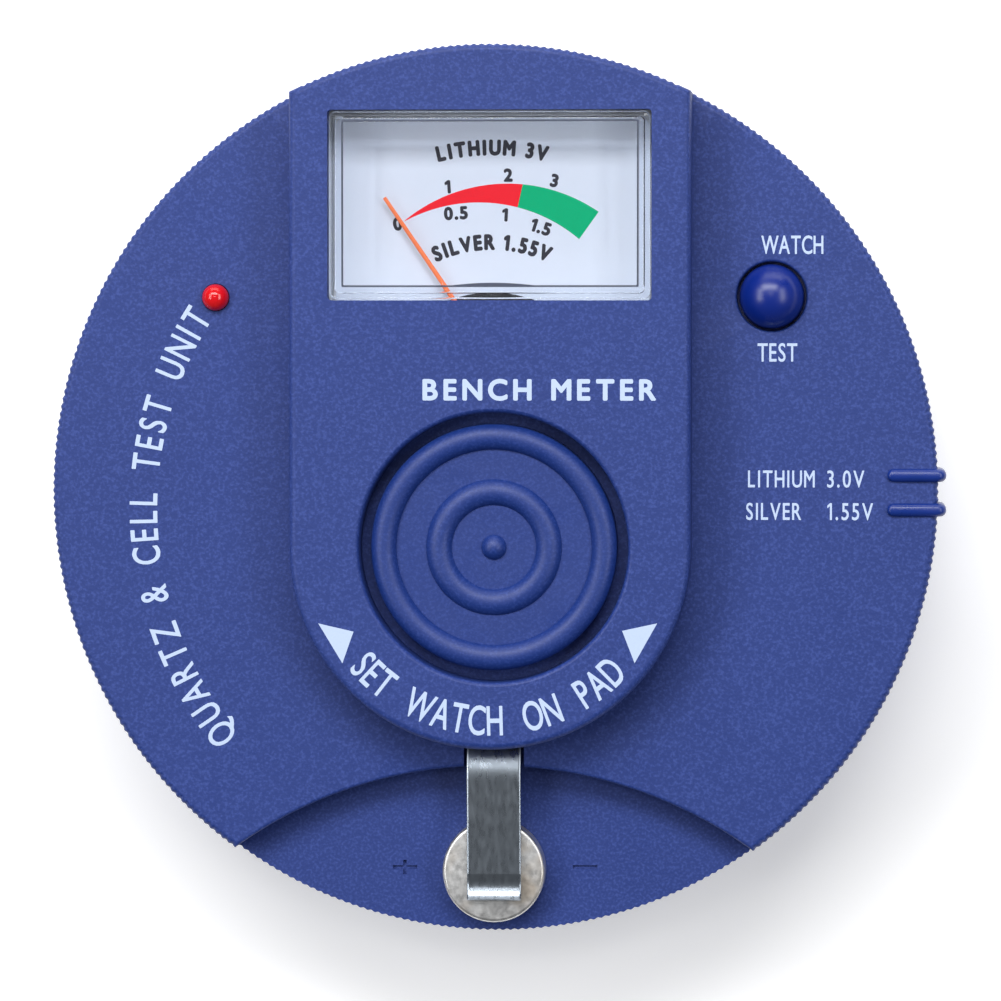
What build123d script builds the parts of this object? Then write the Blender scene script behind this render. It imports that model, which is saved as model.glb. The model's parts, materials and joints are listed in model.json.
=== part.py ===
from build123d import *
from math import cos, pi, sin
import os

# Watch and battery tester: a round hand-sized instrument with a panel meter, a watch pickup pad and a
# spring strip that holds a button cell. Millimetres, +Z up, +Y towards the meter, +X to the right.
# The origin is on the disc's axis, on the plane that the feet stand on.

# --- driving dimensions -------------------------------------------------------------------------------
DISC_R = 50.0            # over the tips of the knurl
RIB_COUNT = 360          # knurl ribs in one turn
RIB_DEPTH = 0.2
BODY_R = DISC_R - RIB_DEPTH - 0.05
WALL = 2.2
TOP = 2.0
EDGE = 0.8               # rounding of the outer edges

BASE_Z = 1.0             # underside of the lower shell
FLOOR = 1.6
SPLIT_Z = 13.0           # where the shells meet
DISC_Z = 27.0            # disc surface
POD_Z = 33.5             # pod surface
TRAY_Z = 23.0            # tray floor
TRAY_SKIN = 1.6

POD_R = 22.4             # half width of the pod and radius of its front
POD_Y = -6.3             # centre of the pod's round front
TRAY_R = 50.2            # step arc of the tray
TRAY_Y = -81.2

WATCH_XY = (0.45, -6.1)  # centre of the watch recess
RECESS_R = 15.05
CUP_WALL = 1.6
RECESS_Z = 29.0
PAD_R = 13.75
PAD_TOP = 33.0

METER_X = 0.0            # middle of the meter
WINDOW = (36.15, 21.2)
WINDOW_Y = 32.05
WINDOW_CORNER = 0.4
WELL = (33.15, 18.6)     # hollow of the cover behind its pane
WELL_AT = (0.07, 32.22)
METER_HALF_W = 18.8
METER_Y = (10.8, 43.2)
MOVEMENT_Y = 8.0         # the housing reaches under the watch recess to here
HOUSING_Z = (14.8, 27.1)
METER_WALL = 1.5
DIAL_TOP = 27.5
COVER_TOP = 33.2
PIVOT = (-0.4, 15.9)
POINTER_Z = 28.45
POINTER_LENGTH = 20.7
POINTER_REST = 34.4      # degrees left of straight up the dial

LED_XY = (-31.35, 21.8)
LED_R = 1.5
LED_FLANGE_R = 1.9
LED_HOLE_R = 1.58
BUTTON_XY = (31.3, 21.9)
BUTTON_R = 3.6
BUTTON_HOLE_R = 3.9
BUTTON_FLANGE_R = 4.5    # keeps the cap in its collar
COLLAR_R = (4.9, 6.0)    # guide for the button inside the shell
COLLAR_Z = 21.6

KNOB_Y = -2.0            # side knob at its silver-cell mark
KNOB_TRAVEL = 3.87       # to the lithium-cell mark
KNOB_HALF = 1.75         # half its size along the rim
KNOB_SLOT_Z = (15.6, 20.4)
KNOB_GAP = 0.3
MARK_WIDTH = 1.5
MARK_X = (44.25, 50.85)
MARK_HEIGHT = 0.7
MARK_FOOT_Z = 21.0       # the marks run down the rim to here

CELL_R = 5.8
CELL_XY = (0.0, -43.0)
CELL_Z = (23.1, 26.12)
STRIP_W = 6.1
STRIP_T = 0.3
STRIP_X = 0.1            # middle of the strip
STRIP_PIVOT = (-24.0, 24.6)   # y and z of the line that the strip bends about
STRIP_BENDS = [(-30.5, 27.55), (-43.2, 26.85), (-45.0, 26.42), (-46.1, 27.15)]
STRIP_SCREW = (STRIP_X, -18.5)
STRIP_HOLE_R = 0.9
PLATE_R = 4.5            # contact disc under the cell
PLATE_SINK = 0.25
RIVET_R = 1.0

BOARD_Z = (14.0, 15.6)
BOARD_R = 45.5
LOWER_R = 49.4           # the lower shell stands back a little under the rim
LIP_R = (46.6, 47.6)     # lip that centres the upper shell
CASE_SCREWS = [(-33, -28), (33, -28), (-24, 36), (24, 36)]
BOARD_SCREWS = [(-36, -6), (36, -6), (-24, 24.5), (24, 24.5)]
CASE_SCREW_SEAT = 7.0    # their heads bear here, deep in the lower shell
FEET = [(-37.5, -19), (37.5, -19), (-32, 28), (32, 28)]
FOOT_R = 4.0
FOOT_SINK = 0.8

BATTERY_X = (-24.6, 21.8)     # end faces of the block battery, without its terminals
BATTERY_Y = (-39.5, -13.0)
BATTERY_Z = (3.2, 20.7)
BATTERY_MID_Y = sum(BATTERY_Y) / 2
BATTERY_MID_Z = sum(BATTERY_Z) / 2
TERMINAL_PITCH = 12.7
DOOR_SIZE = (51.6, 26.5)
DOOR_X = 0.5
DOOR_GAP = 0.3
DOOR_HINGE_X = -25.4
TONGUE_TIP_X = -27.1

LOW = (Align.CENTER, Align.CENTER, Align.MIN)


# --- small helpers ------------------------------------------------------------------------------------
def disc(radius, low, high, at=(0, 0)):
    """Round solid between two heights."""
    return Pos(at[0], at[1], low) * Cylinder(radius, high - low, align=LOW)


def tube(outer, inner, low, high, at=(0, 0)):
    """Round wall between two heights."""
    return disc(outer, low, high, at) - disc(inner, low - 1, high + 1, at)


def block(x, y, z):
    """Box from three (low, high) pairs."""
    size = [high - low for low, high in (x, y, z)]
    return Pos(x[0], y[0], z[0]) * Box(*size, align=(Align.MIN, Align.MIN, Align.MIN))


def slab(width, depth, low, high, at=(0, 0), corner=0.0):
    """Box about a centre, with rounded upright corners."""
    outline = RectangleRounded(width, depth, corner) if corner else Rectangle(width, depth)
    return extrude(Pos(at[0], at[1], low) * outline, high - low)


def rod_x(radius, low, high, at):
    """Round solid along X; at is its (y, z)."""
    return Pos(low, at[0], at[1]) * Rot(0, 90, 0) * Cylinder(radius, high - low, align=LOW)


def turned(outline):
    """Solid of revolution about Z from a closed (r, z) outline."""
    return revolve(Plane.XZ * make_face(outline), Axis.Z)


def wire(radius, bend, *points):
    """Round wire through points, with every corner bent to one radius."""
    path = FilletPolyline(*points, radius=bend) if len(points) > 2 else Line(*points)
    section = Plane(origin=path @ 0, z_dir=path % 0) * Circle(radius)
    return sweep(section, path=path)


def group(pieces):
    """Several separate solids as one node."""
    return Compound([solid for piece in pieces for solid in piece.solids()])


def round_mouth(radius, low, top, lip, at):
    """Cutter for a round hole whose upper edge is left rounded."""
    middle = lip * (1 - cos(pi / 4))
    outline = [
        Polyline((radius, top - lip), (radius, low), (0, low), (0, top + 1), (radius + lip, top + 1),
                 (radius + lip, top)),
        ThreePointArc((radius + lip, top), (radius + middle, top - middle), (radius, top - lip)),
    ]
    return Pos(at[0], at[1], 0) * turned(outline)


# --- casing -------------------------------------------------------------------------------------------
def knurl(low, high):
    """Ring of vertical ribs round the rim."""
    corners = []
    for step in range(2 * RIB_COUNT):
        angle = pi * step / RIB_COUNT
        radius = DISC_R - RIB_DEPTH * (step % 2)
        corners.append((radius * cos(angle), radius * sin(angle)))
    toothed = Pos(0, 0, low) * make_face(Polyline(*corners, close=True))
    return extrude(toothed, high - low) - disc(DISC_R - 1.0, low - 1, high + 1)


def pod_outline(inset):
    """Pod seen from above: straight sides, round front, back on the rim."""
    radius = POD_R - inset
    length = DISC_R - POD_Y
    sides = Pos(0, POD_Y + length / 2) * Rectangle(2 * radius, length)
    front = Pos(0, POD_Y) * Circle(radius)
    return (sides + front) & Circle(BODY_R - inset)


def pod(inset, low, high):
    return extrude(Pos(0, 0, low) * pod_outline(inset), high - low)


def tray_disc(grow, low, high):
    """Round space whose edge is the tray's step arc."""
    return disc(TRAY_R + grow, low, high, (0, TRAY_Y))


def index_mark(y):
    """Rib that starts on the disc and wraps down over its edge."""
    shoulder, side = 0.9, 0.4
    rib = block(MARK_X, (y - MARK_WIDTH / 2, y + MARK_WIDTH / 2), (MARK_FOOT_Z, DISC_Z + MARK_HEIGHT))
    rib = fillet(rib.edges().group_by(Axis.X)[-1].group_by(Axis.Z)[-1], shoulder)

    def is_long_rim(edge):
        middle = edge.center()
        off_centre = abs(middle.Y - y) > MARK_WIDTH / 2 - 0.05
        return off_centre and middle.Z > MARK_FOOT_Z + 1 and middle.X > MARK_X[0] + 0.1

    return fillet(rib.edges().filter_by(is_long_rim), side)


def strip_notch():
    """Opening in the step and the pod's front wall that the strip comes out of."""
    half_w = STRIP_W / 2 + 0.35
    width = (STRIP_X - half_w, STRIP_X + half_w)
    return block(width, (-33.0, STRIP_PIVOT[0] + 0.6), (STRIP_PIVOT[1] - 0.7, 28.4))


def polarity_marks():
    """Cutters for the engraved plus on the left of the cell and the minus on its right."""
    length, stroke, upright = 2.8, 0.4, 1.6
    height = (TRAY_Z - 0.35, TRAY_Z + 1)
    left, right = (-10.3, -42.9), (10.2, -42.75)
    plus = slab(length, stroke, *height, left) + slab(stroke, upright, *height, left)
    return plus + slab(length, stroke, *height, right)


def upper_shell():
    plate = disc(BODY_R, SPLIT_Z, DISC_Z)
    plate = fillet(plate.edges().group_by(Axis.Z)[-1], EDGE)
    raised = pod(0, DISC_Z - 6, POD_Z)
    raised = fillet(raised.faces().sort_by(Axis.Z)[-1].edges(), EDGE)
    rim = knurl(SPLIT_Z + 0.4, DISC_Z - EDGE)
    pod_rim = knurl(DISC_Z - EDGE, POD_Z - EDGE) & block((-POD_R, POD_R), (40, 51), (20, POD_Z))
    outer = plate + raised + rim + pod_rim
    for y in (KNOB_Y, KNOB_Y + KNOB_TRAVEL):
        outer += index_mark(y)

    hollow = disc(DISC_R - WALL, SPLIT_Z - 1, DISC_Z - TOP) + pod(WALL, DISC_Z - TOP - 1, POD_Z - TOP)
    cup = disc(RECESS_R + CUP_WALL, RECESS_Z - TOP, POD_Z, WATCH_XY)
    tray = tray_disc(1.8, TRAY_Z - TRAY_SKIN, DISC_Z) & disc(DISC_R - 1, TRAY_Z - TRAY_SKIN, DISC_Z)
    collar = tube(COLLAR_R[1], COLLAR_R[0], COLLAR_Z, DISC_Z - 1, BUTTON_XY)
    boss_width = (STRIP_X - 2.9, STRIP_X + 2.9)
    strip_boss = block(boss_width, (-21.0, -16.0), (STRIP_PIVOT[1] + STRIP_T / 2, RECESS_Z - 1))
    shell = outer - (hollow - cup - tray - collar - strip_boss)
    boss_r, pilot_r = 3.2, 1.3
    for at in CASE_SCREWS:
        shell += tube(boss_r, pilot_r, SPLIT_Z, DISC_Z - TOP + 0.2, at)

    shell -= round_mouth(TRAY_R, TRAY_Z, DISC_Z, 0.4, (0, TRAY_Y))
    shell -= round_mouth(RECESS_R, RECESS_Z, POD_Z, 0.6, WATCH_XY)
    shell -= slab(*WINDOW, POD_Z - TOP - 1, POD_Z + 1, (METER_X, WINDOW_Y), WINDOW_CORNER)
    shell -= round_mouth(BUTTON_HOLE_R, 24, DISC_Z, 0.3, BUTTON_XY)
    shell -= disc(LED_HOLE_R, 20, POD_Z, LED_XY)
    shell -= strip_notch()
    shell -= disc(STRIP_HOLE_R, 20, RECESS_Z - 1, STRIP_SCREW)
    shell -= disc(PLATE_R + 0.1, TRAY_Z - PLATE_SINK, TRAY_Z + 1, CELL_XY)
    shell -= disc(RIVET_R + 0.05, 20, TRAY_Z + 1, CELL_XY)
    shell -= polarity_marks()
    slot_y = (KNOB_Y - KNOB_HALF - KNOB_GAP, KNOB_Y + KNOB_TRAVEL + KNOB_HALF + KNOB_GAP)
    return shell - block((46, 52), slot_y, KNOB_SLOT_Z)


def lower_shell():
    floor_z = BASE_Z + FLOOR
    inner_r = LOWER_R - WALL
    cup = disc(LOWER_R, BASE_Z, SPLIT_Z)
    cup = chamfer(cup.edges().group_by(Axis.Z)[0], 1.0)
    cup -= disc(inner_r, floor_z, SPLIT_Z + 1)
    lip_low, lip_top = SPLIT_Z - 2, SPLIT_Z + 1.6
    selector_gap = block((44, 50), (-8, 8), (SPLIT_Z, 20))
    lip = tube(LIP_R[1], LIP_R[0], lip_low, lip_top) - selector_gap
    cup += tube(inner_r + 0.1, LIP_R[0], lip_low, SPLIT_Z) + lip

    case_boss_r, board_boss_r = 3.9, 2.5
    for at in CASE_SCREWS:
        cup += disc(case_boss_r, floor_z, SPLIT_Z, at)
    for at in BOARD_SCREWS:
        cup += disc(board_boss_r, floor_z, BOARD_Z[0], at)
    battery_wall = block((-26.2, 27.0), (BATTERY_Y[1] + 0.3, BATTERY_Y[1] + 1.5), (floor_z, 12.5))
    cup += battery_wall

    clearance_r, head_bore_r, pilot_r = 1.5, 2.7, 0.9
    for at in CASE_SCREWS:
        cup -= disc(clearance_r, 0, SPLIT_Z + 1, at) + disc(head_bore_r, 0, CASE_SCREW_SEAT, at)
    for at in BOARD_SCREWS:
        cup -= disc(pilot_r, 5, BOARD_Z[0] + 1, at)
    for at in FEET:
        cup -= disc(FOOT_R + 0.1, 0, BASE_Z + FOOT_SINK, at)
    width, depth = (size + 2 * DOOR_GAP for size in DOOR_SIZE)
    return cup - slab(width, depth, 0, floor_z + 0.2, (DOOR_X, BATTERY_MID_Y), 4.0)


def battery_door():
    """Hatch with two tongues at its hinge end, a latch at the other and ribs that the battery lies on."""
    top = BASE_Z + FLOOR
    door = slab(*DOOR_SIZE, BASE_Z, top, (DOOR_X, BATTERY_MID_Y), 3.7)
    root_x, tongue_half = -24.7, 2.5
    for y in (BATTERY_MID_Y - 7, BATTERY_MID_Y + 7):
        width = (y - tongue_half, y + tongue_half)
        door += block((-20, 20), (y - 0.6, y + 0.6), (top, BATTERY_Z[0] - 0.1))
        door += block((DOOR_HINGE_X + 0.2, root_x), width, (top - 0.4, top + 0.7))
        door += block((TONGUE_TIP_X, root_x), width, (top + 0.1, top + 0.7))
    latch = block((25.2, 26.2), (BATTERY_MID_Y - 3, BATTERY_MID_Y + 3), (top - 0.3, top + 3.0))
    finger_hollow = Pos(23.2, BATTERY_MID_Y, BASE_Z - 5.0) * Sphere(6.0)
    return door + latch - finger_hollow


def rubber_feet():
    feet = []
    for at in FEET:
        foot = disc(FOOT_R, 0, BASE_Z + FOOT_SINK, at)
        feet.append(fillet(foot.edges().group_by(Axis.Z)[0], 0.4))
    return group(feet)


def screw(at, under_head, length, thread_r, head_r, head_h):
    """Pan-head screw driven upwards, with a cross slot in its head."""
    shank = disc(thread_r, under_head - 0.1, under_head + length, at)
    head = disc(head_r, under_head - head_h, under_head, at)
    head = fillet(head.edges().group_by(Axis.Z)[0], head_h * 0.35)
    slot_w = head_r * 0.28
    for size in ((slot_w, head_r * 1.3), (head_r * 1.3, slot_w)):
        head -= slab(*size, under_head - head_h - 1, under_head - head_h * 0.45, at)
    return head + shank


def case_screws():
    return group([screw(at, CASE_SCREW_SEAT, 15.0, 1.25, 2.5, 1.9) for at in CASE_SCREWS])


# --- 9 V supply ---------------------------------------------------------------------------------------
TERMINAL_Y = (BATTERY_MID_Y - TERMINAL_PITCH / 2, BATTERY_MID_Y + TERMINAL_PITCH / 2)


def block_battery():
    case = block(BATTERY_X, BATTERY_Y, BATTERY_Z)
    case = fillet(case.edges().filter_by(Axis.X), 2.0)
    ends = case.edges().group_by(Axis.X)[0] + case.edges().group_by(Axis.X)[-1]
    return fillet(ends, 0.7)


def battery_terminals():
    """Round stud and its mating crown."""
    end, height = BATTERY_X[1], 2.0
    stud_r, crown_r, crown_bore_r = 2.8, 4.2, 3.1
    stud = rod_x(stud_r, end, end + height, (TERMINAL_Y[0], BATTERY_MID_Z))
    crown = rod_x(crown_r, end, end + height, (TERMINAL_Y[1], BATTERY_MID_Z))
    crown -= rod_x(crown_bore_r, end + 0.6, end + height + 1, (TERMINAL_Y[1], BATTERY_MID_Z))
    return group([stud, crown])


def snap_connector():
    """Plate with a cup over the battery's stud and a stud in its crown."""
    end = BATTERY_X[1]
    stud_r, cup_r = 2.9, 3.9
    plate = block((end + 2.1, end + 4.3), (BATTERY_MID_Y - 11.5, BATTERY_MID_Y + 11.5),
                  (BATTERY_MID_Z - 6.2, BATTERY_MID_Z + 6.2))
    plate = fillet(plate.edges().filter_by(Axis.X), 4.0)
    cup = rod_x(cup_r, end + 0.3, end + 2.2, (TERMINAL_Y[0], BATTERY_MID_Z))
    cup -= rod_x(stud_r, end, end + 2.1, (TERMINAL_Y[0], BATTERY_MID_Z))
    stud = rod_x(stud_r, end + 0.8, end + 2.2, (TERMINAL_Y[1], BATTERY_MID_Z))
    return plate + cup + stud


def supply_lead(y, x):
    """Lead from the back of the snap connector to the underside of the board."""
    start = BATTERY_X[1] + 4.3
    low, board_y = BATTERY_MID_Z, -9
    corners = [(start, y, low), (x, y, low), (x, board_y, low), (x, board_y, BOARD_Z[0])]
    return wire(0.55, 1.4, *corners)


def red_lead():
    return supply_lead(-18.5, 29.2)


def black_lead():
    return supply_lead(-21.5, 31.4)


# --- board --------------------------------------------------------------------------------------------
def circuit_board():
    """Board cut out round the meter, with a wing up each side."""
    z, top = BOARD_Z
    bar = block((-46, 46), (-11.3, MOVEMENT_Y - 0.6), (z, top))
    wings = block((20.6, 35.8), (MOVEMENT_Y - 1, 28), (z, top))
    board = bar + wings + mirror(wings, Plane.YZ)
    board = board & disc(BOARD_R, z - 1, top + 1)
    for at in BOARD_SCREWS:
        board -= disc(1.0, z - 1, top + 1, at)
    return board


def board_screws():
    top = BOARD_Z[1]
    head_r, head_h, thread_r, tip_z = 1.7, 1.1, 0.85, 8.5
    screws = []
    for at in BOARD_SCREWS:
        slot = slab(0.5, 4, top + 0.6, top + 2, at)
        head = disc(head_r, top, top + head_h, at) - slot
        screws.append(head + disc(thread_r, tip_z, top + 0.1, at))
    return group(screws)


CHIP_AT = (-14.0, -1.0)
CHIP_SIZE = (9.6, 6.4)
PIN_PITCH = 2.54


def amplifier_chip():
    top = BOARD_Z[1] + 3.8
    notch = disc(0.8, top - 0.3, top + 1, (CHIP_AT[0] - CHIP_SIZE[0] / 2, CHIP_AT[1]))
    return slab(*CHIP_SIZE, BOARD_Z[1] + 0.5, top, CHIP_AT) - notch


def chip_pins():
    pins = []
    for column in range(4):
        x = CHIP_AT[0] + PIN_PITCH * (column - 1.5)
        for side in (-1, 1):
            near = CHIP_AT[1] + side * CHIP_SIZE[1] / 2
            far = near + side * 0.62
            low_y, high_y = sorted((near, far))
            pins.append(block((x - 0.5, x + 0.5), (low_y, high_y), (BOARD_Z[1], BOARD_Z[1] + 2.2)))
    return group(pins)


RESISTOR_AT = [(-27.5, -7.0), (-27.5, -3.0), (-27.5, 1.0), (22.0, -7.5), (22.0, 0.5)]
RESISTOR_HALF = 3.1
RESISTOR_Z = BOARD_Z[1] + 1.4


def resistors():
    bodies = []
    cap_length = 1.4
    for x, y in RESISTOR_AT:
        body = rod_x(0.95, x - RESISTOR_HALF, x + RESISTOR_HALF, (y, RESISTOR_Z))
        for end in (x - RESISTOR_HALF, x + RESISTOR_HALF - cap_length):
            body += rod_x(1.15, end, end + cap_length, (y, RESISTOR_Z))
        bodies.append(body)
    return group(bodies)


def resistor_leads():
    leads = []
    for x, y in RESISTOR_AT:
        for side in (-1, 1):
            start, bend = x + side * RESISTOR_HALF, x + side * 5.0
            leads.append(wire(0.3, 0.7, (start, y, RESISTOR_Z), (bend, y, RESISTOR_Z), (bend, y, BOARD_Z[1])))
    return group(leads)


def capacitors():
    cans, height = [], 5.4
    for x, y, radius in ((9.0, 2.6, 3.1), (16.0, 3.4, 2.5)):
        can = disc(radius, BOARD_Z[1], BOARD_Z[1] + height, (x, y))
        cans.append(fillet(can.edges().group_by(Axis.Z)[-1], 0.5))
    return group(cans)


def trimmers():
    low, top = BOARD_Z[1], BOARD_Z[1] + 3.4
    width, rotor_r = 6.6, 1.9
    pieces = []
    for at in ((-36.5, 4.0), (29.5, 4.5)):
        body = slab(width, width, low, top, at) + disc(rotor_r, top - 0.4, top + 0.6, at)
        pieces.append(body - slab(0.6, 3.0, top + 0.1, top + 1.6, at))
    return group(pieces)


# --- test button --------------------------------------------------------------------------------------
SWITCH_TOP = 21.2
CAP_Z = (23.4, 26.6)     # foot of the cap, and the centre of its dome
PLUNGER_R = 1.5
SPRING_FLOOR = 16.4


def button_cap():
    """Domed cap with a flange under the collar's mouth and a socket for the plunger."""
    low, dome_z = CAP_Z
    at = BUTTON_XY
    cap = disc(BUTTON_R, low, dome_z, at) + disc(BUTTON_FLANGE_R, low, low + 1.2, at)
    dome = Pos(*at, dome_z) * Sphere(BUTTON_R) & disc(BUTTON_R + 1, dome_z - 0.1, 32, at)
    return cap + dome - disc(PLUNGER_R + 0.05, 23, 25.4, at)


def switch_plunger():
    return disc(PLUNGER_R, 19.0, 25.3, BUTTON_XY) + disc(2.4, 19.0, 20.1, BUTTON_XY)


def push_switch_body():
    body = slab(7.0, 7.0, BOARD_Z[1], SWITCH_TOP, BUTTON_XY)
    chamber = disc(2.7, SPRING_FLOOR, 20.4, BUTTON_XY)
    return body - chamber - disc(PLUNGER_R + 0.08, 20, SWITCH_TOP + 1, BUTTON_XY)


def switch_spring():
    """Return spring under the plunger's collar."""
    low, high, radius, gauge = 16.7, 18.7, 1.9, 0.2
    path = Helix(pitch=(high - low) / 3, height=high - low, radius=radius)
    section = Plane(origin=path @ 0, z_dir=path % 0) * Circle(gauge)
    return Pos(BUTTON_XY[0], BUTTON_XY[1], low) * sweep(section, path=path, is_frenet=True)


# --- side switch for the cell type --------------------------------------------------------------------
def slide_switch_body():
    body = block((38.6, 43.6), (-4.8, 4.7), (BOARD_Z[1], 20.5))
    return body - block((41.0, 44), (-3.1, 3.0), (17.2, 18.9))


def slide_switch_lever():
    return block((41.2, 47.5), (KNOB_Y - 0.8, KNOB_Y + 0.8), (17.3, 18.8))


def range_knob():
    """Ribbed slider with a socket for the switch lever."""
    face_x, rib_half, rib_pitch = 49.2, 0.28, 1.1
    knob = block((46.6, face_x), (KNOB_Y - KNOB_HALF, KNOB_Y + KNOB_HALF), (15.95, 20.05))
    for step in (-1, 0, 1):
        y = KNOB_Y + rib_pitch * step
        knob += block((face_x - 0.1, face_x + 0.45), (y - rib_half, y + rib_half), (16.2, 19.8))
    return knob - block((46, 47.55), (KNOB_Y - 0.82, KNOB_Y + 0.82), (17.28, 18.82))


# --- lamp ---------------------------------------------------------------------------------------------
def led_lens():
    flange_z, dome_z = 23.9, 27.25
    barrel = disc(LED_R, 24.8, dome_z, LED_XY) + disc(LED_FLANGE_R, flange_z, 24.95, LED_XY)
    dome = Pos(*LED_XY, dome_z) * Sphere(LED_R) & disc(2, dome_z - 0.05, 30, LED_XY)
    return barrel + dome


def led_leads():
    x, y = LED_XY
    half_pitch = PIN_PITCH / 2
    return group([slab(0.5, 0.5, BOARD_Z[1], 23.9, (x + side * half_pitch, y)) for side in (-1, 1)])


# --- watch pickup -------------------------------------------------------------------------------------
def watch_pad():
    """Round pad with two raised rings and a dome in the middle."""
    valley = PAD_TOP - 1.1
    outline = [
        Polyline((4.7, valley), (0, valley), (0, RECESS_Z), (PAD_R, RECESS_Z), (PAD_R, PAD_TOP - 1.0)),
        ThreePointArc((PAD_R, PAD_TOP - 1.0), (12.4, PAD_TOP), (10.9, valley)),
        Line((10.9, valley), (7.6, valley)),
        ThreePointArc((7.6, valley), (6.15, PAD_TOP - 0.15), (4.7, valley)),
    ]
    dome_r, dome_sink = 1.5, 0.5
    dome = Pos(0, 0, valley - dome_sink) * Sphere(dome_r) & disc(dome_r, valley - 0.2, PAD_TOP)
    return Pos(*WATCH_XY, 0) * (turned(outline) + dome)


BOBBIN_R = 9.0
BOBBIN_Z = (21.6, 27.0)  # it hangs under the recess floor
CHEEK = 0.8
HUB_R = 3.2
CORE_R = 2.45


def coil_bobbin():
    low, high = BOBBIN_Z
    at = WATCH_XY
    cheeks = disc(BOBBIN_R, high - CHEEK, high, at) + disc(BOBBIN_R, low, low + CHEEK, at)
    hub = disc(HUB_R, low + 0.4, high - 0.5, at)
    return cheeks + hub - disc(CORE_R + 0.05, 20, 28, at)


def pickup_coil():
    low, high = BOBBIN_Z
    return tube(8.4, HUB_R + 0.05, low + CHEEK, high - CHEEK, WATCH_XY)


def ferrite_core():
    return disc(CORE_R, BOBBIN_Z[0] - 0.2, BOBBIN_Z[1] - 0.1, WATCH_XY)


def coil_leads():
    x, y = WATCH_XY
    return group([disc(0.25, BOARD_Z[1], BOBBIN_Z[0], (x + side * 5.0, y + 6.0)) for side in (-1, 1)])


# --- contacts for the cell ----------------------------------------------------------------------------
def contact_strip():
    """Bent blade that presses on the cell; it turns at STRIP_PIVOT."""
    pivot_y, pivot_z = STRIP_PIVOT
    line = Polyline((pivot_y - 0.15, pivot_z), *STRIP_BENDS)
    blade = make_face(offset(line, STRIP_T / 2, side=Side.BOTH))
    return Pos(STRIP_X + STRIP_W / 2, 0, 0) * extrude(Plane.YZ * blade, -STRIP_W)


def contact_strip_tail():
    """The strip's flat end, clamped under the shell by its screw."""
    pivot_y, pivot_z = STRIP_PIVOT
    half = STRIP_T / 2
    width = (STRIP_X - STRIP_W / 2, STRIP_X + STRIP_W / 2)
    tail = block(width, (pivot_y + 0.15, -15.6), (pivot_z - half, pivot_z + half))
    return tail - disc(STRIP_HOLE_R, 20, 30, STRIP_SCREW)


def strip_screw():
    under_head = STRIP_PIVOT[1] - STRIP_T / 2
    return screw(STRIP_SCREW, under_head, 3.2, STRIP_HOLE_R - 0.02, 1.9, 1.2)


def strip_wire():
    """Wire from the strip's edge to the board."""
    z, start_y, x, board_y = STRIP_PIVOT[1], -17.6, 12, -10.2
    edge = STRIP_X + STRIP_W / 2
    corners = [(edge, start_y, z), (x, start_y, z), (x, board_y, z), (x, board_y, BOARD_Z[1])]
    return wire(0.35, 1.2, *corners)


def contact_plate():
    plate = disc(PLATE_R, TRAY_Z - PLATE_SINK, TRAY_Z + 0.05, CELL_XY)
    return plate - disc(RIVET_R, 20, 30, CELL_XY)


def plate_rivet():
    inside = TRAY_Z - TRAY_SKIN
    rivet = disc(RIVET_R, inside - 0.1, TRAY_Z + 0.05, CELL_XY)
    return rivet + disc(1.6, inside - 0.6, inside, CELL_XY)


def plate_wire():
    """Wire from the rivet's head, under the tray, to the board."""
    x, y = CELL_XY
    z, board_y = TRAY_Z - TRAY_SKIN - 0.32, -10.4
    return wire(0.25, 0.8, (x, y + 1.58, z), (x, board_y, z), (x, board_y, BOARD_Z[1]))


CAN_WALL = 0.3
CAN_MOUTH_R = CELL_R - 0.75
CELL_CAP_R = CELL_R - 1.2


def cell_can():
    """Positive can, crimped over the gasket at its lower edge."""
    low, high = CELL_Z
    foot = low + 0.3
    can = disc(CELL_R, foot, high)
    can = fillet(can.edges().group_by(Axis.Z)[-1], 0.45)
    can -= disc(CELL_R - CAN_WALL, low, high - CAN_WALL)
    return Pos(*CELL_XY, 0) * (can + tube(CELL_R - 0.2, CAN_MOUTH_R, foot, foot + CAN_WALL))


def cell_gasket():
    return tube(CAN_MOUTH_R, CELL_CAP_R, CELL_Z[0] + 0.35, CELL_Z[0] + 1.6, CELL_XY)


def cell_cap():
    cap = disc(CELL_CAP_R, CELL_Z[0], CELL_Z[0] + 1.5, CELL_XY)
    return fillet(cap.edges().group_by(Axis.Z)[0], 0.3)


# --- panel meter --------------------------------------------------------------------------------------
METER_MID_Y = sum(METER_Y) / 2
METER_DEPTH = METER_Y[1] - METER_Y[0]
METER_FLOOR = HOUSING_Z[0] + METER_WALL
MAGNET_R = 3.0
MAGNET_Z = (19.2, 24.5)
COIL_R = 3.55            # half width of the former, inside the winding
COIL_Z = (18.65, 25.05)
WINDING = 0.45
YOKE_R = (4.5, 6.2)
YOKE_Z = (19.0, 24.7)
BRIDGE_X = (4.8, 6.0)    # legs of the bearing bridges, on the yoke
SHAFT_R = 0.35
HUB_EYE_R = 0.75         # the needle's eye on its hub
STUDS = [(METER_X - 6, 37.0), (METER_X + 6, 37.0)]
STUD_R = 0.9


def meter_slab(inset, low, high, corner=1.2):
    """Block with the meter's outline, smaller all round by an inset."""
    width, depth = 2 * (METER_HALF_W - inset), METER_DEPTH - 2 * inset
    return slab(width, depth, low, high, (METER_X, METER_MID_Y), corner)


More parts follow.
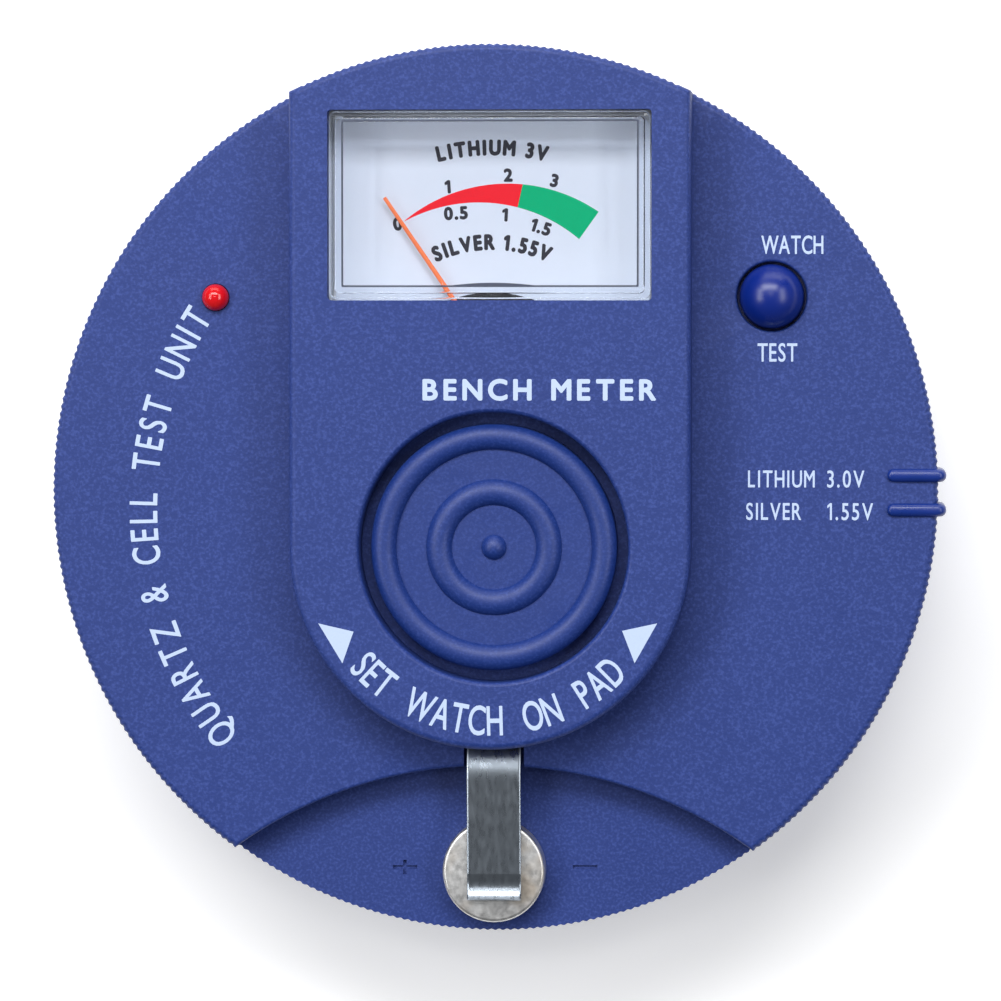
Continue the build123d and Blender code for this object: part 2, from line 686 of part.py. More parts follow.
def meter_cover():
    """Clear cover: a flanged box with a raised window that stands in the pod's opening."""
    ceiling = POD_Z - TOP
    skin, play, corner = 1.2, 0.15, 0.3
    cover = meter_slab(0, HOUSING_Z[1], ceiling)
    raised = [size - 2 * play for size in WINDOW]
    boss = slab(*raised, ceiling - 0.5, COVER_TOP, (METER_X, WINDOW_Y), corner)
    boss = chamfer(boss.edges().group_by(Axis.Z)[-1], 0.25)
    inside = meter_slab(1.0, HOUSING_Z[1] - 1, ceiling - skin)
    well = slab(*WELL, HOUSING_Z[1] - 1, COVER_TOP - skin, WELL_AT, corner)
    return cover + boss - inside - well


def meter_housing():
    """Tray of the meter; its low end passes under the watch recess."""
    low, high = HOUSING_Z
    low_top = RECESS_Z - TOP - 0.2
    half = METER_HALF_W
    wide = (METER_X - half, METER_X + half)
    narrow = (wide[0] + METER_WALL, wide[1] - METER_WALL)
    tray = meter_slab(0, low, high) + block(wide, (MOVEMENT_Y, METER_MID_Y), (low, low_top))
    tray -= meter_slab(METER_WALL, METER_FLOOR, high + 1)
    tray -= block(narrow, (MOVEMENT_Y + METER_WALL, METER_MID_Y), (METER_FLOOR, low_top - 0.8))
    for at in STUDS:
        tray -= disc(STUD_R + 0.02, low - 1, low + 3, at)
    return tray


def dial_plate():
    low_y, high_y = 18.5, 41.9
    middle = (METER_X, (low_y + high_y) / 2)
    return slab(2 * METER_HALF_W - 2.4, high_y - low_y, DIAL_TOP - 0.4, DIAL_TOP, middle, 1.0)


def movement_shield():
    """Black shield whose arched edge shows at the foot of the dial."""
    radius, top_y, foot_y = 14.0, 22.35, 18.6
    arch = disc(radius, DIAL_TOP, DIAL_TOP + 0.4, (METER_X, top_y - radius))
    return arch & block((-12, 12), (foot_y, 30), (20, 40))


def meter_magnet():
    return disc(MAGNET_R, *MAGNET_Z, PIVOT)


def meter_yoke():
    return tube(YOKE_R[1], YOKE_R[0], *YOKE_Z, PIVOT)


def core_supports():
    """Two brass pieces that hold the core magnet inside the ring, clear of the turning coil."""
    bar = block((-1.0, 1.0), (-YOKE_R[0], YOKE_R[0]), (20.5, 23.5)) - disc(MAGNET_R, 10, 30)
    return Pos(*PIVOT, 0) * group([bar & disc(YOKE_R[0], 10, 30)])


def needle_turned(piece):
    """A piece of the needle, drawn straight up the dial about the origin, put at its resting angle."""
    return Pos(*PIVOT, 0) * Rot(0, 0, POINTER_REST) * piece


def coil_frame(half_w, half_t, wall, height):
    """Upright rectangular frame about the shaft; half_w and height are measured outside."""
    low, high = height
    frame = block((-half_w, half_w), (-half_t, half_t), (low, high))
    return frame - block((wall - half_w, half_w - wall), (-2, 2), (low + wall, high - wall))


def coil_former():
    return needle_turned(coil_frame(COIL_R, 1.1, 0.3, COIL_Z))


def moving_coil():
    height = (COIL_Z[0] - WINDING, COIL_Z[1] + WINDING)
    return needle_turned(coil_frame(COIL_R + WINDING, 0.95, WINDING, height))


def pivot_shafts():
    low = disc(SHAFT_R, 17.15, COIL_Z[0] - WINDING)
    high = disc(SHAFT_R, COIL_Z[1] + WINDING, 29.2)
    return needle_turned(group([low, high]))


def pointer():
    """Tapered needle with a round eye on the hub."""
    low, high = POINTER_Z, POINTER_Z + 0.3
    root, root_half, tip_half = 1.2, 0.30, 0.21
    corners = ((-root_half, root), (-tip_half, POINTER_LENGTH), (tip_half, POINTER_LENGTH), (root_half, root))
    blade = extrude(Pos(0, 0, low) * make_face(Polyline(*corners, close=True)), high - low)
    return needle_turned(blade + disc(1.4, low, high) - disc(HUB_EYE_R, low - 1, high + 1))


def pointer_balance():
    """Hub in the needle's eye, with a tail that balances it."""
    low, flange, top = POINTER_Z - 0.5, POINTER_Z, POINTER_Z + 0.4
    tail_half, weight_y = 0.3, -3.2
    hub = disc(HUB_EYE_R, low, top) + disc(1.3, low, flange)
    tail = block((-tail_half, tail_half), (weight_y - 0.2, -1.4), (low, flange - 0.1))
    tail += block((-tail_half, tail_half), (-1.5, 0), (low, flange))
    weight = disc(0.6, low - 0.1, top, (0, weight_y))
    return needle_turned(hub + tail + weight - disc(SHAFT_R + 0.01, 20, 35))


def hairspring(low):
    """Flat spiral of semicircles from near the shaft to a fixed outer end."""
    turns = []
    radius, centre, side, growth = 0.8, 0.0, 1, 0.14
    half_turns = 10
    for _ in range(half_turns):
        start, end = centre + side * radius, centre - side * radius
        turns.append(ThreePointArc((start, 0), (centre, side * radius), (end, 0)))
        side = -side
        centre = end - side * (radius + growth)
        radius += growth
    ribbon = trace(Wire(turns), line_width=0.09)
    return Pos(*PIVOT, low) * extrude(ribbon, 0.3)


def hairsprings():
    return group([hairspring(17.6), hairspring(26.5)])


def bearing_bridge(bar_z, leg_z):
    """Bar across the yoke on two legs, with a hole for a jewel screw."""
    bridge = block((-BRIDGE_X[1], BRIDGE_X[1]), (-1.0, 1.0), bar_z)
    for low, high in ((-BRIDGE_X[1], -BRIDGE_X[0]), BRIDGE_X):
        bridge += block((low, high), (-1.0, 1.0), leg_z)
    return bridge - disc(0.8, 10, 35)


def bearing_bridges():
    upper = bearing_bridge((29.5, 30.1), (YOKE_Z[1], 29.6))
    lower = bearing_bridge((METER_FLOOR, 17.0), (16.8, YOKE_Z[0]))
    return Pos(*PIVOT, 0) * group([upper, lower])


def bearing_screws():
    """Jewel screws with a cup that the shaft's end sits in."""
    upper = disc(0.78, 29.0, 30.15) - disc(0.42, 28, 29.3)
    lower = disc(0.78, METER_FLOOR + 0.02, 17.4) - disc(0.42, 17.05, 18)
    return Pos(*PIVOT, 0) * group([upper, lower])


def meter_terminals():
    return group([disc(STUD_R, 11.2, METER_FLOOR + 1, at) for at in STUDS])


def meter_leads():
    """Leads from the studs, under the meter, to the underside of the board."""
    z, board_y = 12.2, 6.2
    leads = []
    for x, y in STUDS:
        leads.append(wire(0.4, 0.9, (x, y - STUD_R, z), (x, board_y, z), (x, board_y, BOARD_Z[0])))
    return group(leads)


# --- every node, by its name --------------------------------------------------------------------------
NODES = [
    upper_shell, lower_shell, battery_door, rubber_feet, case_screws,
    block_battery, battery_terminals, snap_connector, red_lead, black_lead,
    circuit_board, board_screws, amplifier_chip, chip_pins, resistors, resistor_leads, capacitors, trimmers,
    button_cap, switch_plunger, push_switch_body, switch_spring,
    slide_switch_body, slide_switch_lever, range_knob, led_lens, led_leads,
    watch_pad, coil_bobbin, pickup_coil, ferrite_core, coil_leads,
    contact_strip, contact_strip_tail, strip_screw, strip_wire, contact_plate, plate_rivet, plate_wire,
    cell_can, cell_gasket, cell_cap,
    meter_cover, meter_housing, dial_plate, movement_shield, meter_magnet, meter_yoke, core_supports,
    coil_former, moving_coil, pivot_shafts, pointer, pointer_balance, hairsprings,
    bearing_bridges, bearing_screws, meter_terminals, meter_leads,
]


def main():
    os.makedirs("parts", exist_ok=True)
    for build in NODES:
        export_step(build(), f"parts/{build.__name__}.step")


main()
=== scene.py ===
import json
from math import acos, atan2, cos, hypot, pi, radians, sin, sqrt, tan

import bmesh
import bpy
from mathutils import Matrix, Vector


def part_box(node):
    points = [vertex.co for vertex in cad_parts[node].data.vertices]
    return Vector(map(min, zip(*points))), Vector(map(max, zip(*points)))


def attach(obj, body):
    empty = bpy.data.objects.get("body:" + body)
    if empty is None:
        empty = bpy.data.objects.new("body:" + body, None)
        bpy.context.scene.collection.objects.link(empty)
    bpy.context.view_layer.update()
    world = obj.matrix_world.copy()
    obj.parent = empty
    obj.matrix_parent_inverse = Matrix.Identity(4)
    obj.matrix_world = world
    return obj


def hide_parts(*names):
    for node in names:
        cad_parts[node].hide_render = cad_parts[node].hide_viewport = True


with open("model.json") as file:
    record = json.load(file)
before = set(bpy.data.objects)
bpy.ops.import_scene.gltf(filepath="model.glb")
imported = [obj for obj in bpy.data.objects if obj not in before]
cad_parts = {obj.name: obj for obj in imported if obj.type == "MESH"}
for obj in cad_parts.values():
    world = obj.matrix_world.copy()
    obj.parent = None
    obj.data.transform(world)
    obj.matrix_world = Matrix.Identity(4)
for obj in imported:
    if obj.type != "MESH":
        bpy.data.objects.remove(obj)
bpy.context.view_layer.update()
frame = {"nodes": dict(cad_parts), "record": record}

MM = 0.001
NODES = frame["nodes"]


# --- sizes in millimetres, some read from the frame and some given ------------------------------------
def box_mm(node):
    low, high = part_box(node)
    return low / MM, high / MM


def middle(node):
    low, high = box_mm(node)
    return (low + high) / 2


SHELL_LOW, SHELL_HIGH = box_mm("upper_shell")
RIM_R = SHELL_HIGH.y             # over the tips of the knurl
POD_Z = SHELL_HIGH.z
POD_TOP = POD_Z - 0.02           # leaves room for the print on it
SPLIT_Z = SHELL_LOW.z
DISC_Z = 27.0
TRAY_Z = box_mm("contact_plate")[1].z - 0.05
TRAY_SKIN = 1.6
WALL = 2.2
TOP = 2.0
EDGE = 0.8                       # rounding of the outer edges
RIB_COUNT = 360
RIB_DEPTH = 0.15                 # a little shallower than their cut, because their flanks are rounded
POD_R = 22.4
POD_Y = -6.3
POD_CENTRE = (0.15, -6.2)        # what the pad words run round
TRAY_R = 50.2
TRAY_Y = -81.2
BASE_Z = box_mm("lower_shell")[0].z
FLOOR = 1.6
LOWER_R = 49.4
LIP_R = (47.6, 46.6)             # the lower shell's lip, outside and inside
BOARD_Z = box_mm("circuit_board")[0].z
CASE_SCREWS = [(-33, -28), (33, -28), (-24, 36), (24, 36)]
BOARD_SCREWS = [(-36, -6), (36, -6), (-24, 24.5), (24, 24.5)]
FEET = [(-37.5, -19), (37.5, -19), (-32, 28), (32, 28)]
DOOR_SIZE = (51.6, 26.5)
DOOR_AT = (0.5, -26.25)
BATTERY_LOW = box_mm("block_battery")[0].z
INDEX_X = (44.25, 50.85)         # from the disc to past its rim
INDEX_FOOT_Z = 21.0

WATCH = middle("watch_pad")
RECESS_R = 15.05
RECESS_Z = box_mm("watch_pad")[0].z
PAD_R = 13.75
PAD_TOP = 33.0
LAMP = middle("led_lens")
LAMP_R = 1.5
LAMP_BASE = 27.25                # where the dome of the lamp starts
BUTTON = middle("button_cap")
BUTTON_TOP = box_mm("button_cap")[1].z
BUTTON_R = 3.6
BUTTON_HOLE_R = 3.9
BUTTON_FLANGE_R = 4.5
KNOB = middle("range_knob")
TRAVEL = {row["name"]: row.get("range_m") for row in frame["record"]["behaviour"]["joints"]}
KNOB_TRAVEL = TRAVEL["cell_type_slide"][1] / MM

CELL = middle("cell_can")
CELL_R = 5.8
CELL_LOW = box_mm("cell_cap")[0].z
CELL_HIGH = box_mm("cell_can")[1].z
STRIP_W = 6.1
STRIP_T = 0.3
STRIP_X = middle("contact_strip").x
STRIP_ROOT_Z = 24.6
STRIP_BENDS = [(-30.5, 27.55), (-43.2, 26.85), (-45.0, 26.42), (-46.1, 27.15)]
STRIP_BEND_R = [9.0, 0.8, 2.5]
STRIP_SCREW = (STRIP_X, -18.5)
PLUS_AT = (-10.3, -42.9)
MINUS_AT = (10.2, -42.75)

METER_X = 0.0
WINDOW = (36.15, 21.2)
WINDOW_AT = (METER_X, 32.05)
COVER_LOW, COVER_HIGH = box_mm("meter_cover")
COVER_SIZE = COVER_HIGH - COVER_LOW
COVER_AT = (COVER_LOW + COVER_HIGH) / 2
COVER_TOP = COVER_HIGH.z
HOUSING_TOP = COVER_LOW.z
DIAL_TOP = box_mm("dial_plate")[1].z
PIVOT = (-0.4, 15.9)
POINTER_LENGTH = 20.7
POINTER_REST = 34.4              # degrees left of straight up the dial


# --- mesh tools ---------------------------------------------------------------------------------------
def solid(name, points, faces):
    """Mesh object from points in millimetres."""
    mesh = bpy.data.meshes.new(name)
    mesh.from_pydata([Vector(p) * MM for p in points], [], faces)
    mesh.validate()
    mesh.update()
    piece = bpy.data.objects.new(name, mesh)
    bpy.context.scene.collection.objects.link(piece)
    return piece


def stack(name, rings):
    """Closed solid through rings of points that all have the same count, with flat ends."""
    count = len(rings[0])
    points = [point for ring in rings for point in ring]
    faces = [list(range(count - 1, -1, -1)), list(range(len(points) - count, len(points)))]
    for level in range(len(rings) - 1):
        base = level * count
        for i in range(count):
            j = (i + 1) % count
            faces.append((base + i, base + j, base + count + j, base + count + i))
    return solid(name, points, faces)


def lathe(name, profile, at=(0, 0), steps=256, ripple=None):
    """Closed solid turned about a vertical axis. The profile is (radius, z), and its first and last points
    lie on the axis. ripple(angle, radius) gives another radius."""
    ends = [profile[0][1], profile[-1][1]]
    rings = profile[1:-1]
    points = [(at[0], at[1], ends[0])]
    for radius, z in rings:
        for i in range(steps):
            angle = 2 * pi * i / steps
            r = ripple(angle, radius) if ripple else radius
            points.append((at[0] + r * cos(angle), at[1] + r * sin(angle), z))
    points.append((at[0], at[1], ends[1]))
    last = len(points) - 1
    faces = []
    for i in range(steps):
        j = (i + 1) % steps
        faces.append((0, 1 + j, 1 + i))
        for level in range(len(rings) - 1):
            a = 1 + level * steps
            faces.append((a + i, a + j, a + steps + j, a + steps + i))
        top = 1 + (len(rings) - 1) * steps
        faces.append((top + i, top + j, last))
    return solid(name, points, faces)


def disc(radius, low, high, at=(0, 0), steps=128):
    return lathe("tool", [(0, low), (radius, low), (radius, high), (0, high)], at, steps)


def rounded_disc(name, radius, low, high, round_low, round_high, at=(0, 0), steps=128, arc=6):
    """Round solid with rounded lower and upper edges."""
    profile = [(0, low)]
    profile += quarter(radius, low, round_low, -1, arc)
    profile += quarter(radius, high, round_high, 1, arc)
    profile.append((0, high))
    return lathe(name, profile, at, steps)


def quarter(radius, z, size, side, arc):
    """Points of an outer rounding. Side -1 leads from the low flat to the wall, 1 from the wall inwards."""
    if not size:
        return [(radius, z)]
    points = []
    for i in range(arc + 1):
        angle = pi / 2 * i / arc
        if side < 0:
            points.append((radius - size + size * sin(angle), z + size - size * cos(angle)))
        else:
            points.append((radius - size + size * cos(angle), z - size + size * sin(angle)))
    return points


def rectangle(width, depth, corner, at, arc=6):
    """Points of a rounded rectangle, anticlockwise."""
    points = []
    for k, (sx, sy) in enumerate(((1, 1), (-1, 1), (-1, -1), (1, -1))):
        cx = at[0] + sx * (width / 2 - corner)
        cy = at[1] + sy * (depth / 2 - corner)
        for i in range(arc + 1):
            angle = pi / 2 * (k + i / arc)
            points.append((cx + corner * cos(angle), cy + corner * sin(angle)))
    return points


def slab(name, width, depth, low, high, at=(0, 0), corner=0.01, edge=0.0, arc=4):
    """Box about a centre, with rounded upright corners and a rounded upper edge."""
    rings = [[(x, y, low) for x, y in rectangle(width, depth, corner, at)]]
    for i in range(arc + 1 if edge else 1):
        angle = pi / 2 * i / arc
        inset = edge * (1 - cos(angle))
        z = high - edge + edge * sin(angle)
        outline = rectangle(width - 2 * inset, depth - 2 * inset, max(corner - inset, 0.001), at)
        rings.append([(x, y, z) for x, y in outline])
    return stack(name, rings)


def block(x, y, z):
    at = ((x[0] + x[1]) / 2, (y[0] + y[1]) / 2)
    return slab("tool", x[1] - x[0], y[1] - y[0], z[0], z[1], at)


def combine(piece, operation, *tools):
    """Boolean of piece with each tool in turn. The tools are used up."""
    for tool in tools:
        change = piece.modifiers.new("cut", "BOOLEAN")
        change.operation = operation
        change.solver = "MANIFOLD"
        change.object = tool
    bpy.context.view_layer.update()
    graph = bpy.context.evaluated_depsgraph_get()
    mesh = bpy.data.meshes.new_from_object(piece.evaluated_get(graph))
    piece.modifiers.clear()
    piece.data = mesh
    for tool in tools:
        bpy.data.objects.remove(tool)
    return piece


def cut(piece, *tools):
    return combine(piece, "DIFFERENCE", *tools)


def add(piece, *tools):
    return combine(piece, "UNION", *tools)


def common(piece, *tools):
    return combine(piece, "INTERSECT", *tools)


def smooth(piece, angle=32):
    """Smooth shading with sharp edges kept, and flats kept flat."""
    piece.data.shade_smooth()
    piece.data.set_sharp_from_angle(angle=radians(angle))
    normals = piece.modifiers.new("normals", "WEIGHTED_NORMAL")
    normals.keep_sharp = True
    normals.weight = 100
    return piece


def finish_piece(piece, name, material, slot, body, *nodes):
    """Name, material, body and the CAD nodes that it stands for. The record slot is not used."""
    piece.name = name
    piece.data.name = name
    piece.data.materials.clear()
    piece.data.materials.append(material)
    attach(piece, body)
    if nodes:
        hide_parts(*nodes)
    return piece


# --- casing -------------------------------------------------------------------------------------------
def rib_wave(angle):
    """0 on a rib's crest, 1 in the groove."""
    return 0.5 - 0.5 * cos(RIB_COUNT * angle)


def knurled(angle, radius):
    """Radius of the rim with its ribs, which run out into the rounding of the edge."""
    depth = RIB_DEPTH * max(0.0, min(1.0, (radius - (RIM_R - EDGE)) / (0.55 * EDGE)))
    return radius - depth * rib_wave(angle)


RIM_STEPS = RIB_COUNT * 8
POD_CORNER = acos((POD_R - WALL) / (RIM_R - WALL))   # where the ribs start at the pod's most inset corner


def shell_disc():
    profile = [(0, SPLIT_Z), (RIM_R - 0.35, SPLIT_Z), (RIM_R - 0.35, SPLIT_Z + 0.35), (RIM_R, SPLIT_Z + 0.45)]
    profile += quarter(RIM_R, DISC_Z, EDGE, 1, 8)
    profile.append((0, DISC_Z))
    return lathe("upper_shell_body", profile, steps=RIM_STEPS, ripple=knurled)


def pod_outline(inset, knurl):
    """Pod from above: round front, straight sides and a back on the rim. knurl is the depth of its ribs."""
    radius = POD_R - inset
    rim = RIM_R - inset
    corner = acos(radius / rim)
    points = []
    first = int(POD_CORNER / (2 * pi) * RIM_STEPS) + 1
    last = RIM_STEPS // 2 - first
    points.append((rim * cos(corner), rim * sin(corner)))
    for i in range(first, last + 1):
        angle = 2 * pi * i / RIM_STEPS
        r = rim - knurl * rib_wave(angle)
        points.append((r * cos(angle), r * sin(angle)))
    points.append((-rim * cos(corner), rim * sin(corner)))
    arc = 160
    for i in range(arc + 1):
        angle = pi + pi * i / arc
        points.append((radius * cos(angle), POD_Y + radius * sin(angle)))
    return points


def shell_pod(inset, low, high, edge, knurl=RIB_DEPTH, arc=8):
    rings = [[(x, y, low) for x, y in pod_outline(inset, knurl)]]
    for i in range(arc + 1 if edge else 1):
        angle = pi / 2 * i / arc
        step = edge * (1 - cos(angle))
        z = high - edge + edge * sin(angle)
        fade = max(0.0, 1 - step / (0.55 * EDGE))
        rings.append([(x, y, z) for x, y in pod_outline(inset + step, knurl * fade)])
    return stack("pod", rings)


def round_mouth(radius, low, top, lip, at, steps=256, arc=6):
    """Cutter for a round hole whose upper edge is left rounded."""
    profile = [(0, low), (radius, low)]
    for i in range(arc + 1):
        angle = pi / 2 * i / arc
        profile.append((radius + lip * (1 - cos(angle)), top - lip + lip * sin(angle)))
    profile += [(radius + lip, top + 1), (0, top + 1)]
    return lathe("tool", profile, at, steps)


def sign(value):
    return (value > 0) - (value < 0)


def index_mark(y):
    """Rounded rib that starts on the disc and wraps down over its edge."""
    low_x, high_x = INDEX_X
    width, height, side_round = 1.5, 0.7, 0.68
    outer, inner = 0.9, 0.5
    halfway_x, under_top, foot_z = 47.6, 26, DISC_Z - 0.5
    top = DISC_Z + height
    arc = 8
    path = [(high_x, INDEX_FOOT_Z)]
    for i in range(arc + 1):
        angle = pi / 2 * i / arc
        path.append((high_x - outer + outer * cos(angle), top - outer + outer * sin(angle)))
    for i in range(1, arc + 1):
        angle = pi / 2 * (1 + i / arc)
        path.append((low_x + inner + inner * cos(angle), top - inner + inner * sin(angle)))
    path.append((low_x, foot_z))
    rings = []
    for i in range(2 * arc + 1):
        turn = -pi / 2 + pi * i / (2 * arc)
        inset = side_round * (1 - cos(turn))
        offset = (width / 2 - side_round) * sign(turn) + side_round * sin(turn)
        ring = []
        for x, z in path:
            dx = -inset if x > halfway_x else (inset if x < low_x + 0.6 else 0)
            dz = -inset if z > under_top else 0
            ring.append((x + dx, y + offset, z + dz))
        ring += [(high_x - 3.0, y + offset, foot_z), (high_x - 3.0, y + offset, INDEX_FOOT_Z)]
        rings.append(ring)
    return stack("mark", rings)


def tube(outer, inner, low, high, at=(0, 0)):
    """Round wall between two heights."""
    return cut(disc(outer, low, high, at), disc(inner, low - 1, high + 1, at))


def strip_notch():
    """Opening in the step and the pod's front wall that the strip comes out of."""
    return block((STRIP_X - 3.4, STRIP_X + 3.4), (-33.0, -23.4), (23.9, 28.4))


def polarity_marks():
    """Cutters for a plus on the left of the cell and a minus on the right."""
    low, top = TRAY_Z - 0.35, TRAY_Z + 1
    length, stroke, upright = 2.8, 0.42, 1.6
    plus = slab("tool", length, stroke, low, top, PLUS_AT)
    add(plus, slab("tool", stroke, upright, low, top, PLUS_AT))
    return plus, slab("tool", length, stroke, low, top, MINUS_AT)


def upper_shell():
    shell = shell_disc()
    add(shell, shell_pod(0, DISC_Z - 3, POD_TOP, EDGE))

    hollow = disc(RIM_R - WALL, SPLIT_Z - 1, DISC_Z - TOP, steps=256)
    add(hollow, shell_pod(WALL, DISC_Z - TOP - 1, POD_Z - TOP, 0, knurl=0))
    cup = disc(RECESS_R + 1.6, RECESS_Z - TOP, POD_Z, WATCH)
    tray = disc(TRAY_R + 1.8, TRAY_Z - TRAY_SKIN, DISC_Z, (0, TRAY_Y), 256)
    common(tray, disc(RIM_R - 1, TRAY_Z - TRAY_SKIN - 1, DISC_Z + 1, steps=256))
    collar = tube(6.0, 4.9, 21.6, DISC_Z - 1, BUTTON)
    strip_boss = block((STRIP_X - 2.9, STRIP_X + 2.9), (-21.0, -16.0), (24.75, RECESS_Z - 1))
    cut(hollow, cup, tray, collar, strip_boss)
    cut(shell, hollow)
    add(shell, *[tube(3.2, 1.3, SPLIT_Z, DISC_Z - TOP + 0.2, at) for at in CASE_SCREWS])

    cut(shell, round_mouth(TRAY_R, TRAY_Z, DISC_Z, 0.4, (0, TRAY_Y), 512))
    cut(shell, round_mouth(RECESS_R, RECESS_Z, POD_Z, 0.6, WATCH))
    window = slab("tool", WINDOW[0], WINDOW[1], POD_Z - TOP - 1, POD_Z + 1, WINDOW_AT, 0.4)
    cut(shell, window, round_mouth(BUTTON_HOLE_R, 24, DISC_Z, 0.3, BUTTON, 96))
    cut(shell, disc(1.58, 20, POD_Z, LAMP, 64), strip_notch(), disc(0.9, 20, 28, STRIP_SCREW, 32))
    cut(shell, disc(4.6, TRAY_Z - 0.25, TRAY_Z + 1, CELL), disc(1.05, 20, TRAY_Z + 1, CELL, 48))
    cut(shell, *polarity_marks())
    cut(shell, block((46, 52), (KNOB.y - 2.05, KNOB.y + KNOB_TRAVEL + 2.05), (15.6, 20.4)))
    return shell


def lower_shell():
    floor_z = BASE_Z + FLOOR
    cup = rounded_disc("cup", LOWER_R, BASE_Z, SPLIT_Z, 1.0, 0, steps=360)
    cut(cup, disc(LOWER_R - WALL, floor_z, SPLIT_Z + 1, steps=256))
    lip = tube(*LIP_R, SPLIT_Z - 2, SPLIT_Z + 1.6)
    cut(lip, block((44, 50), (-8, 8), (SPLIT_Z, 20)))
    add(cup, tube(LOWER_R - WALL + 0.1, LIP_R[1], SPLIT_Z - 2, SPLIT_Z), lip)
    add(cup, *[disc(3.9, floor_z - 0.1, SPLIT_Z, at) for at in CASE_SCREWS])
    add(cup, *[disc(2.5, floor_z - 0.1, BOARD_Z, at) for at in BOARD_SCREWS])
    add(cup, block((-26.2, 27.0), (-12.7, -11.5), (floor_z - 0.1, 12.5)))
    for at in CASE_SCREWS:
        cut(cup, disc(1.5, 0, SPLIT_Z + 1, at, 48), disc(2.7, 0, 7.0, at, 96))
    cut(cup, *[disc(0.9, 5, BOARD_Z + 1, at, 32) for at in BOARD_SCREWS])
    cut(cup, *[disc(4.1, 0, BASE_Z + 0.8, at) for at in FEET])
    cut(cup, slab("tool", DOOR_SIZE[0] + 0.6, DOOR_SIZE[1] + 0.6, 0, floor_z + 0.2, DOOR_AT, 4.0))
    return cup


def battery_door():
    low, top = BASE_Z, BASE_Z + FLOOR
    door = slab("door", DOOR_SIZE[0], DOOR_SIZE[1], low, top, DOOR_AT, 3.7)
    mid_y = DOOR_AT[1]
    for y in (mid_y - 7, mid_y + 7):
        rib = block((-20, 20), (y - 0.6, y + 0.6), (top - 0.1, BATTERY_LOW - 0.1))
        web = block((-25.2, -24.7), (y - 2.5, y + 2.5), (top - 0.4, top + 0.7))
        add(door, rib, web, block((-27.1, -24.75), (y - 2.5, y + 2.5), (top + 0.1, top + 0.7)))
    add(door, block((25.2, 26.2), (mid_y - 3, mid_y + 3), (top - 0.3, top + 3.0)))
    cut(door, ball(6.0, (23.2, mid_y, BASE_Z - 5.0)))
    for step in range(-3, 4):
        y = mid_y + 1.6 * step
        cut(door, block((17.5, 19.0), (y - 0.3, y + 0.3), (0, low + 0.35)))
    return door


def ball(radius, at, steps=96):
    profile = [(0, at[2] - radius)]
    for i in range(1, steps // 2):
        angle = -pi / 2 + 2 * pi * i / steps
        profile.append((radius * cos(angle), at[2] + radius * sin(angle)))
    profile.append((0, at[2] + radius))
    return lathe("tool", profile, at, steps)


def rubber_feet():
    feet = [rounded_disc("foot", 4.0, 0, BASE_Z + 0.8, 0.5, 0, at) for at in FEET]
    return join(feet)


def screw_heads(places, under_head, head_r, head_h, thread_r, length):
    """Pan heads with a cross slot, driven upwards, each on its threaded shank."""
    screws = []
    for at in places:
        head = rounded_disc("screw", head_r, under_head - head_h, under_head, head_h * 0.4, 0.05, at, 64)
        width = head_r * 0.28
        for size in ((width, head_r * 1.3), (head_r * 1.3, width)):
            cut(head, slab("tool", size[0], size[1], under_head - head_h - 1, under_head - head_h * 0.45, at))
        add(head, disc(thread_r, under_head - 0.1, under_head + length, at, 32))
        screws.append(head)
    return join(screws)


def join(pieces):
    """One object from several separate solids."""
    shape = bmesh.new()
    for piece in pieces:
        shape.from_mesh(piece.data)
    whole = pieces[0]
    shape.to_mesh(whole.data)
    shape.free()
    for piece in pieces[1:]:
        bpy.data.objects.remove(piece)
    return whole


# --- controls, lamp and watch pad ---------------------------------------------------------------------
def arc_through(a, b, c, count):
    """Points along the arc that starts at a, passes b and ends at c."""
    d = 2 * (a[0] * (b[1] - c[1]) + b[0] * (c[1] - a[1]) + c[0] * (a[1] - b[1]))
    squares = [p[0] ** 2 + p[1] ** 2 for p in (a, b, c)]
    x = (squares[0] * (b[1] - c[1]) + squares[1] * (c[1] - a[1]) + squares[2] * (a[1] - b[1])) / d
    y = (squares[0] * (c[0] - b[0]) + squares[1] * (a[0] - c[0]) + squares[2] * (b[0] - a[0])) / d
    radius = hypot(a[0] - x, a[1] - y)
    first, mid, last = (atan2(p[1] - y, p[0] - x) for p in (a, b, c))
    sweep = (last - first) % (2 * pi)
    if (mid - first) % (2 * pi) > sweep:
        sweep -= 2 * pi
    return [(x + radius * cos(first + sweep * i / count), y + radius * sin(first + sweep * i / count))
            for i in range(count + 1)]


def dome_cap(radius, base, steps=16):
    """Points from the edge of a half ball up to near its top."""
    return [(radius * cos(pi / 2 * i / steps), base + radius * sin(pi / 2 * i / steps)) for i in range(steps)]


def button_cap():
    skirt = BUTTON_TOP - BUTTON_R
    profile = [(0, 25.4), (1.55, 25.4), (1.55, 23.4)]
    profile += [(BUTTON_FLANGE_R, 23.4), (BUTTON_FLANGE_R, 24.6), (BUTTON_R, 24.6)]
    profile += dome_cap(BUTTON_R, skirt, 28) + [(0, BUTTON_TOP)]
    return lathe("button", profile, BUTTON, 128)


def lamp_lens():
    profile = [(0, 23.9), (1.9, 23.9), (1.9, 24.95), (LAMP_R, 24.95)]
    profile += dome_cap(LAMP_R, LAMP_BASE, 20) + [(0, LAMP_BASE + LAMP_R)]
    return lathe("lamp", profile, LAMP, 96)


